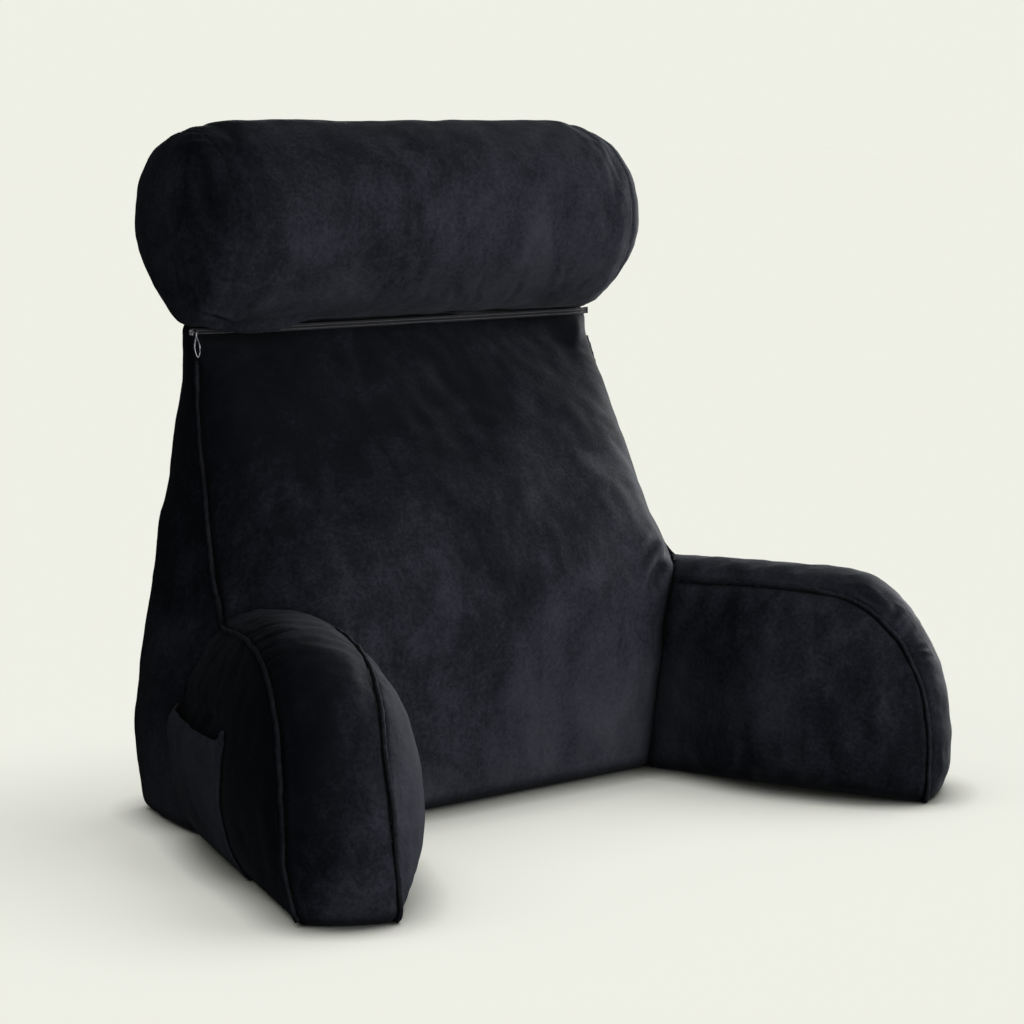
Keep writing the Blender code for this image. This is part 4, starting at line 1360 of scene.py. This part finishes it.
@dataclass
class Zip:
    """The zip under the neck roll: tape, two rows of coil teeth, slider, wire pull and stitching."""

    front: tuple[tuple[float, float], ...] = (  # the front panel's face along the zip
        (0.0, 0.1467), (0.0476, 0.1468), (0.0952, 0.1476), (0.1428, 0.1490), (0.1666, 0.1500),
        (0.1770, 0.1483), (0.1872, 0.1480), (0.1973, 0.1491), (0.2072, 0.1516), (0.2169, 0.1555))
    low_z: float = 0.4090
    high_z: float = 0.4150
    middle: float = 0.4120
    tape_face: float = 0.0020
    seam_in: float = 0.0008  # the stitches' distance from the tape's edges
    tooth_pitch: float = 0.0015
    tooth_size: Point = (0.00068, 0.00055, 0.00036)
    tooth_rows: Sizes = (-0.00130, 0.00130)
    tooth_lean: float = 0.35
    tooth_stand: float = 0.0009
    start_x: float = -0.2130
    end_x: float = 0.2090
    slider_x: float = -0.2180
    slider_face_y: float = 0.14947
    slider_size: Point = (0.0088, 0.0024, 0.0068)
    corner: float = 0.0018  # rounding of the slider's upright edges
    rim: Sizes = (0.0006, 0.0004, 0.0003)  # its raised face: margin, height and rounding
    bail: Sizes = (0.0032, 0.0034, 0.0003)  # half width, reach forward and how deep its ends sit
    bail_radius: float = 0.0007
    pull_radius: float = 0.0008
    pull_length: float = 0.0245
    pull_drop: float = 0.0022  # how far its top stands above the bail
    pull_width: float = 0.0027  # half its width at the widest
    pull_spread: float = 0.0019  # how far its strands part round the bail
    pull_lean: float = 0.003  # how far forward its bottom hangs

    def line(self, off: float, z: float, start: float, end: float) -> Array:
        """Line along the zip.

        Args:
            off: Distance in front of the front panel.
            z: Its height.
            start: The x at which it starts.
            end: The x at which it ends.

        Returns:
            The line's points, one a row.
        """
        spots = np.linspace(start, end, 160)
        xs, ys = zip(*self.front)
        return np.column_stack([spots, np.interp(np.abs(spots), xs, ys) - off, np.full(len(spots), z)])

    def teeth(self) -> Piece:
        """Make the two rows of coil teeth as one piece."""
        bm = bmesh.new()
        for number, rise in enumerate(self.tooth_rows):
            row = self.line(self.tape_face + self.tooth_stand, self.middle + rise, self.start_x, self.end_x)
            shift = Vector((number * self.tooth_pitch / 2, 0, 0))
            lean = Matrix.Rotation(math.copysign(self.tooth_lean, rise), 4, "Y")
            for place in even_path(row, self.tooth_pitch):
                add_bead(bm, Matrix.Translation(Vector(place) + shift) @ lean, self.tooth_size)
        return object_from("zip_coil", bm)

    def slider(self) -> Piece:
        """Make the slider's body with its raised face, and its bail, as one piece."""
        length, depth, height = self.slider_size
        margin, rise, rounding = self.rim
        bm = bmesh.new()
        bmesh.ops.create_cube(bm, size=1.0)
        bmesh.ops.scale(bm, verts=bm.verts, vec=(length, depth, height))
        upright = [e for e in bm.edges if abs(e.verts[0].co.y - e.verts[1].co.y) > depth / 2]
        round_off(bm, upright, self.corner, 4)
        front = [f for f in bm.faces if f.normal.y < -0.9]
        bmesh.ops.inset_region(bm, faces=front, thickness=margin, depth=0.0)
        bmesh.ops.translate(bm, verts=list({v for f in front for v in f.verts}), vec=(0, -rise, 0))
        sharp = [e for e in bm.edges if len(e.link_faces) == 2 and e.calc_face_angle() > 0.9]
        round_off(bm, sharp, rounding, 2)
        place = (self.slider_x, self.slider_face_y + depth / 2, self.middle)
        bmesh.ops.translate(bm, verts=bm.verts, vec=place)
        body = object_from("zip_slider_body", bm)
        half, reach, seat = self.bail
        arch = [(self.slider_x - half * math.cos(angle),
                 self.slider_face_y + seat - reach * math.sqrt(math.sin(angle)), self.middle)
                for angle in np.linspace(0, math.pi, 25)]
        bail = Strand("zip_bail", np.array(arch), self.bail_radius).piece
        bm = bmesh_of(body.data, bail.data)
        for part in (bail, body):
            bpy.data.objects.remove(part)
        return object_from("zip_slider_with_bail", bm)

    def pull(self) -> Piece:
        """Make the drop-shaped wire pull that hangs in the bail."""
        _, reach, seat = self.bail
        bail_y = self.slider_face_y + seat - reach
        path = []
        for angle in np.linspace(0, 2 * math.pi, 64, endpoint=False):
            drop = (1 - math.cos(angle)) / 2
            sway = math.sin(angle)
            width = self.pull_width * (0.42 + 0.58 * float(smooth_step(0.0, 0.75, drop)))
            spread = max(-1.0, min(1.0, 2.2 * sway)) * (1 - float(smooth_step(0.15, 0.6, drop)))
            path.append((self.slider_x + width * sway,
                         bail_y + self.pull_spread * spread - self.pull_lean * drop,
                         self.middle + self.pull_drop - (self.pull_length - 2 * self.pull_radius) * drop))
        return Strand("zip_pull_wire", np.array(path), self.pull_radius, closed=True).piece

    def build(self, tape: NylonFinish, coil: NylonFinish, thread: NylonFinish,
              metal: MetalFinish) -> list[Piece]:
        """Make the zip.

        Args:
            tape: The tape's finish.
            coil: The teeth's finish.
            thread: The stitches' finish.
            metal: The slider's and the pull's finish.

        Returns:
            The finished pieces.
        """
        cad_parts["zip_tape"].material_slots[0].material = tape.material()
        plating = metal.material()
        pieces = [dress(self.teeth(), coil.material(), ["zip_teeth"]),
                  dress(self.slider(), plating, ["zip_slider"]),
                  dress(self.pull(), plating, ["zip_pull"])]
        sewing = thread.material()
        for word, z in (("upper", self.high_z - self.seam_in), ("lower", self.low_z + self.seam_in)):
            line = self.line(self.tape_face + 0.0001, z, self.start_x + 0.004, self.end_x - 0.003)
            row = StitchRow(f"zip_{word}_stitches", line, Vector((0, -1, 0))).piece
            pieces.append(dress(row, sewing))
        return pieces


# ---------------------------------------------------------------- studio
def add_light(name: str, kind: str, direction: Point, **settings: object) -> Piece:
    """Add a light that shines from a direction.

    Args:
        name: Its name.
        kind: Its type, AREA or SUN.
        direction: Where its light comes from.
        **settings: Its other properties.

    Returns:
        The light.
    """
    data = bpy.data.lights.new(name, kind)
    assign(data, **settings)
    light = link(bpy.data.objects.new(name, data))
    light.rotation_euler = Vector(direction).normalized().to_track_quat("Z", "Y").to_euler()
    return light


@dataclass(frozen=True)
class Lamp:
    """A soft square lamp that looks at the pillow, placed by its direction and distance."""

    name: str
    direction: Point
    power: float
    distance: float = 2.6
    size: float = 1.2
    target: Point = (0.0, 0.0, 0.25)

    def build(self, unlit: bpy.types.Collection) -> None:
        """Make the lamp, which doesn't light what is in the unlit collection."""
        lamp = add_light(self.name, "AREA", self.direction, shape="SQUARE", size=self.size, energy=self.power)
        lamp.location = Vector(self.target) + Vector(self.direction).normalized() * self.distance
        lamp.light_linking.receiver_collection = unlit


@dataclass(frozen=True)
class Sky:
    """A wide disc of even light over the floor alone, one of those that give the pillow its soft shadow."""

    name: str
    direction: Point
    width: float
    share: float

    def build(self, lit: bpy.types.Collection) -> None:
        """Make the light, which lights only what is in the lit collection."""
        energy = self.share * math.pi / Vector(self.direction).normalized().z
        sky = add_light(self.name, "SUN", self.direction, angle=math.radians(self.width), energy=energy)
        sky.light_linking.receiver_collection = lit


@dataclass
class Studio:
    """Pale seamless floor and backdrop, soft lamps and the camera at the photograph's angle."""

    paper: FloorFinish = field(default_factory=FloorFinish)
    floor_size: float = 80.0
    floor_z: float = -0.0002
    skies: tuple[Sky, ...] = (
        Sky("right_sky", (0.55, 0.0, 0.80), 40.0, 0.340),
        Sky("high_sky", (0.0, 0.25, 0.95), 30.0, 0.299),
        Sky("high_right_sky", (0.30, 0.0, 0.95), 30.0, 0.096),
        Sky("rear_left_sky", (-0.35, 0.35, 0.85), 40.0, 0.134),
        Sky("rear_right_sky", (0.35, 0.35, 0.85), 40.0, 0.131),
    )
    camera_place: Point = (-1.34298, -1.76993, 0.58998)
    camera_yaw: float = math.radians(37.398)
    camera_pitch: float = math.radians(8.581)
    lens: float = 90.86
    sensor: float = 36.0
    far: float = 200.0
    lamps: tuple[Lamp, ...] = (
        Lamp("front_lamp", (0.30, -1.00, 0.00), 66.0),
        Lamp("side_lamp", (0.95, 0.20, 0.10), 84.0),
        Lamp("high_right_lamp", (0.85, -0.30, 0.55), 10.0),
        Lamp("high_front_lamp", (0.00, -0.80, 0.80), 8.0),
        Lamp("fill_lamp", (-0.55, -0.80, 0.20), 17.0),
        Lamp("rear_lamp", (0.55, 1.0, 0.12), 26.0),
        Lamp("left_lamp", (-0.95, 0.10, 0.10), 5.0),
    )

    def build(self) -> None:
        """Make the floor, the backdrop, the lamps and the camera."""
        scene = bpy.context.scene
        assign(scene.view_settings, view_transform="Standard", look="None")
        bm = bmesh.new()
        bmesh.ops.create_grid(bm, x_segments=1, y_segments=1, size=self.floor_size / 2)
        bmesh.ops.translate(bm, verts=bm.verts, vec=(0, 0, self.floor_z))
        floor = object_from("floor", bm)
        floor.data.materials.append(self.paper.material())
        assign(floor, visible_diffuse=False, visible_glossy=False)
        world = bpy.data.worlds.new("backdrop")
        world.use_nodes = True
        world.node_tree.nodes["Background"].inputs["Color"].default_value = (*self.paper.colour, 1.0)
        scene.world = world
        assign(world.cycles_visibility, diffuse=False, glossy=False, transmission=False, scatter=False)
        only_floor = bpy.data.collections.new("lit_by_the_skies")
        only_floor.objects.link(floor)
        for sky in self.skies:
            sky.build(only_floor)
        unlit = bpy.data.collections.new("unlit_by_lamps")
        unlit.objects.link(floor)
        unlit.collection_objects[0].light_linking.link_state = "EXCLUDE"
        for lamp in self.lamps:
            lamp.build(unlit)
        self.aim_camera()

    def aim_camera(self) -> None:
        """Make the camera and turn it as the photograph's was."""
        data = bpy.data.cameras.new("photo_camera")
        assign(data, lens=self.lens, sensor_width=self.sensor, clip_end=self.far)
        camera = link(bpy.data.objects.new("photo_camera", data))
        camera.location = self.camera_place
        camera.rotation_euler = (math.pi / 2 - self.camera_pitch, 0.0, -self.camera_yaw)
        bpy.context.scene.camera = camera


# ---------------------------------------------------------------- assembly
LEFT_ARM = Arm(
    "arm_left", -1, 0.187, 0.014,
    folds=folds_from(
        (((-2782, -49, 1830), (-2761, -233, 1904), (-2698, -374, 1967)), 10, 28, 7),
        (((-2984, -504, 1852), (-2939, -672, 1946), (-2856, -776, 2000)), 11, 30, 8),
        (((-3127, -884, 1868), (-3047, -1022, 1967), (-2871, -1089, 2019)), 13, 30, 8),
        (((-3220, -1151, 1861), (-3145, -1206, 1930), (-3027, -1262, 1987)), 12, 26, 8),
        (((-3267, -1311, 1831), (-3200, -1348, 1891), (-3112, -1395, 1942)), 11, 24, 7),
        (((-3297, -1430, 1786), (-3244, -1460, 1838), (-3193, -1479, 1881)), 9, 22, 6),
        (((-3326, -1517, 1728), (-3279, -1555, 1774), (-3227, -1585, 1819)), 6, 22, 4),
        (((-2614, 260, 1815), (-2562, -125, 1937), (-2348, -389, 1969)), -8, 40, 0),
        (((-3491, -2003, 795), (-3300, -2248, 802), (-3038, -2385, 818), (-2874, -2382, 851)), 4, 45, 3),
        (((-3492, -2028, 649), (-3311, -2261, 640), (-3052, -2403, 658), (-2879, -2412, 676)), 5, 40, 3),
        (((-2352, -1529, 1727), (-2323, -1595, 1639), (-2451, -1833, 1581)), 8, 60, 2),
        (((-3342, -1166, 1544), (-3330, -998, 1418), (-3301, -827, 1288)), -7, 70, 0),
        # The hollow behind the pocket's open mouth.
        (((-2859, 630, 1150), (-2924, 434, 1185), (-3028, 138, 1208), (-3112, -157, 1195),
          (-3200, -451, 1180), (-3273, -720, 1165)), 60, 80, 0, 0.4),
    ),
    gathers=((OUTER, Gathers(0.33, 0.68, 0.0085, 0.0003, 0.020, 31)),
             (INNER, Gathers(0.45, 0.75, 0.0120, 0.0003, 0.014, 33))),
    seam_pull=0.006)
RIGHT_ARM = Arm(
    "arm_right", 1, 0.1778, 0.018,
    folds=folds_from(
        (((2689, -1662, 1783), (2725, -1751, 1747), (2760, -1840, 1694)), 26, 45, 10),
        (((2730, -1972, 1556), (2818, -1970, 1599), (2928, -1934, 1635)), 22, 32, 12),
        (((2818, -2184, 1311), (2908, -2194, 1328), (3036, -2167, 1335)), 16, 22, 11),
        (((2830, -2224, 1245), (2928, -2236, 1252), (3067, -2200, 1255)), 14, 22, 10),
        (((2769, -2108, 1412), (2873, -2103, 1461), (2988, -2063, 1495)), 13, 26, 8),
        (((2475, -2118, 1006), (2405, -2094, 868), (2332, -2049, 710)), 10, 50, 4),
        (((1821, -99, 1579), (1767, -110, 1214), (1725, -137, 757), (1696, -93, 284)), 16, 80, 4),
        (((1865, -1101, 288), (1907, -1031, 176), (2047, -855, 26)), 10, 50, 6),
    ),
    gathers=((INNER, Gathers(0.62, 0.80, 0.0090, 0.0005, 0.013, 35)),
             (OUTER, Gathers(0.40, 0.75, 0.0110, 0.0004, 0.014, 37))))


def main() -> None:
    """Build the pillow's looks, piece by piece, and the studio round it."""
    logging.basicConfig(level=logging.INFO, format="%(message)s")
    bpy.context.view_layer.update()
    piping = VelvetFinish(
        name="piping_velvet", slot="piping_velvet", nap_down=(0.004, 0.0045, 0.0070),
        nap_middle=(0.009, 0.0098, 0.0135), nap_up=(0.018, 0.0185, 0.0230), brush_scale=160.0)
    thread = NylonFinish("dark_thread", (0.020, 0.021, 0.025), (0.060, 0.061, 0.068), 0.6)
    tape = NylonFinish("woven_tape", (0.003, 0.0035, 0.005), (0.010, 0.011, 0.014), 0.85)
    coil = NylonFinish("zip_coil_nylon", (0.07, 0.07, 0.08), (0.17, 0.17, 0.185), 0.35, relief=0.05)
    Studio().build()
    # Each piece has its own copy of the velvet, lit and shaded by painted light: the slope, its level point
    # and the lift passed here paint it lighter or darker across the piece and over all of it.
    pieces = Back().build(VelvetFinish(
        name="back_velvet", painted_light_slope=(0.34, 0.0, -0.80), painted_light_origin=(0.02, 0.0, 0.22), painted_light_lift=0.025), piping)
    pieces += NeckRoll().build(VelvetFinish(
        name="roll_velvet", painted_light_slope=(0.27, 0.0, -0.25), painted_light_origin=(0.0, 0.0, 0.52), painted_light_lift=0.08))
    pieces += LEFT_ARM.build(VelvetFinish(
        name="left_arm_velvet", sheen=0.025, painted_light_slope=(2.30, 0.0, -1.20), painted_light_origin=(-0.27, 0.0, 0.10),
        painted_light_lift=0.05), piping)
    pieces += RIGHT_ARM.build(VelvetFinish(
        name="right_arm_velvet", painted_light_slope=(0.0, 0.9, 0.3), painted_light_origin=(0.25, -0.15, 0.10),
        painted_light_lift=0.01), piping)
    pieces += Pocket(LEFT_ARM).build(VelvetFinish(name="pocket_velvet", painted_light_lift=0.16), thread)
    pieces += Zip().build(tape, coil, thread, MetalFinish())
    LOG.info("%d pieces", len(pieces))


if __name__ == "__main__":
    main()
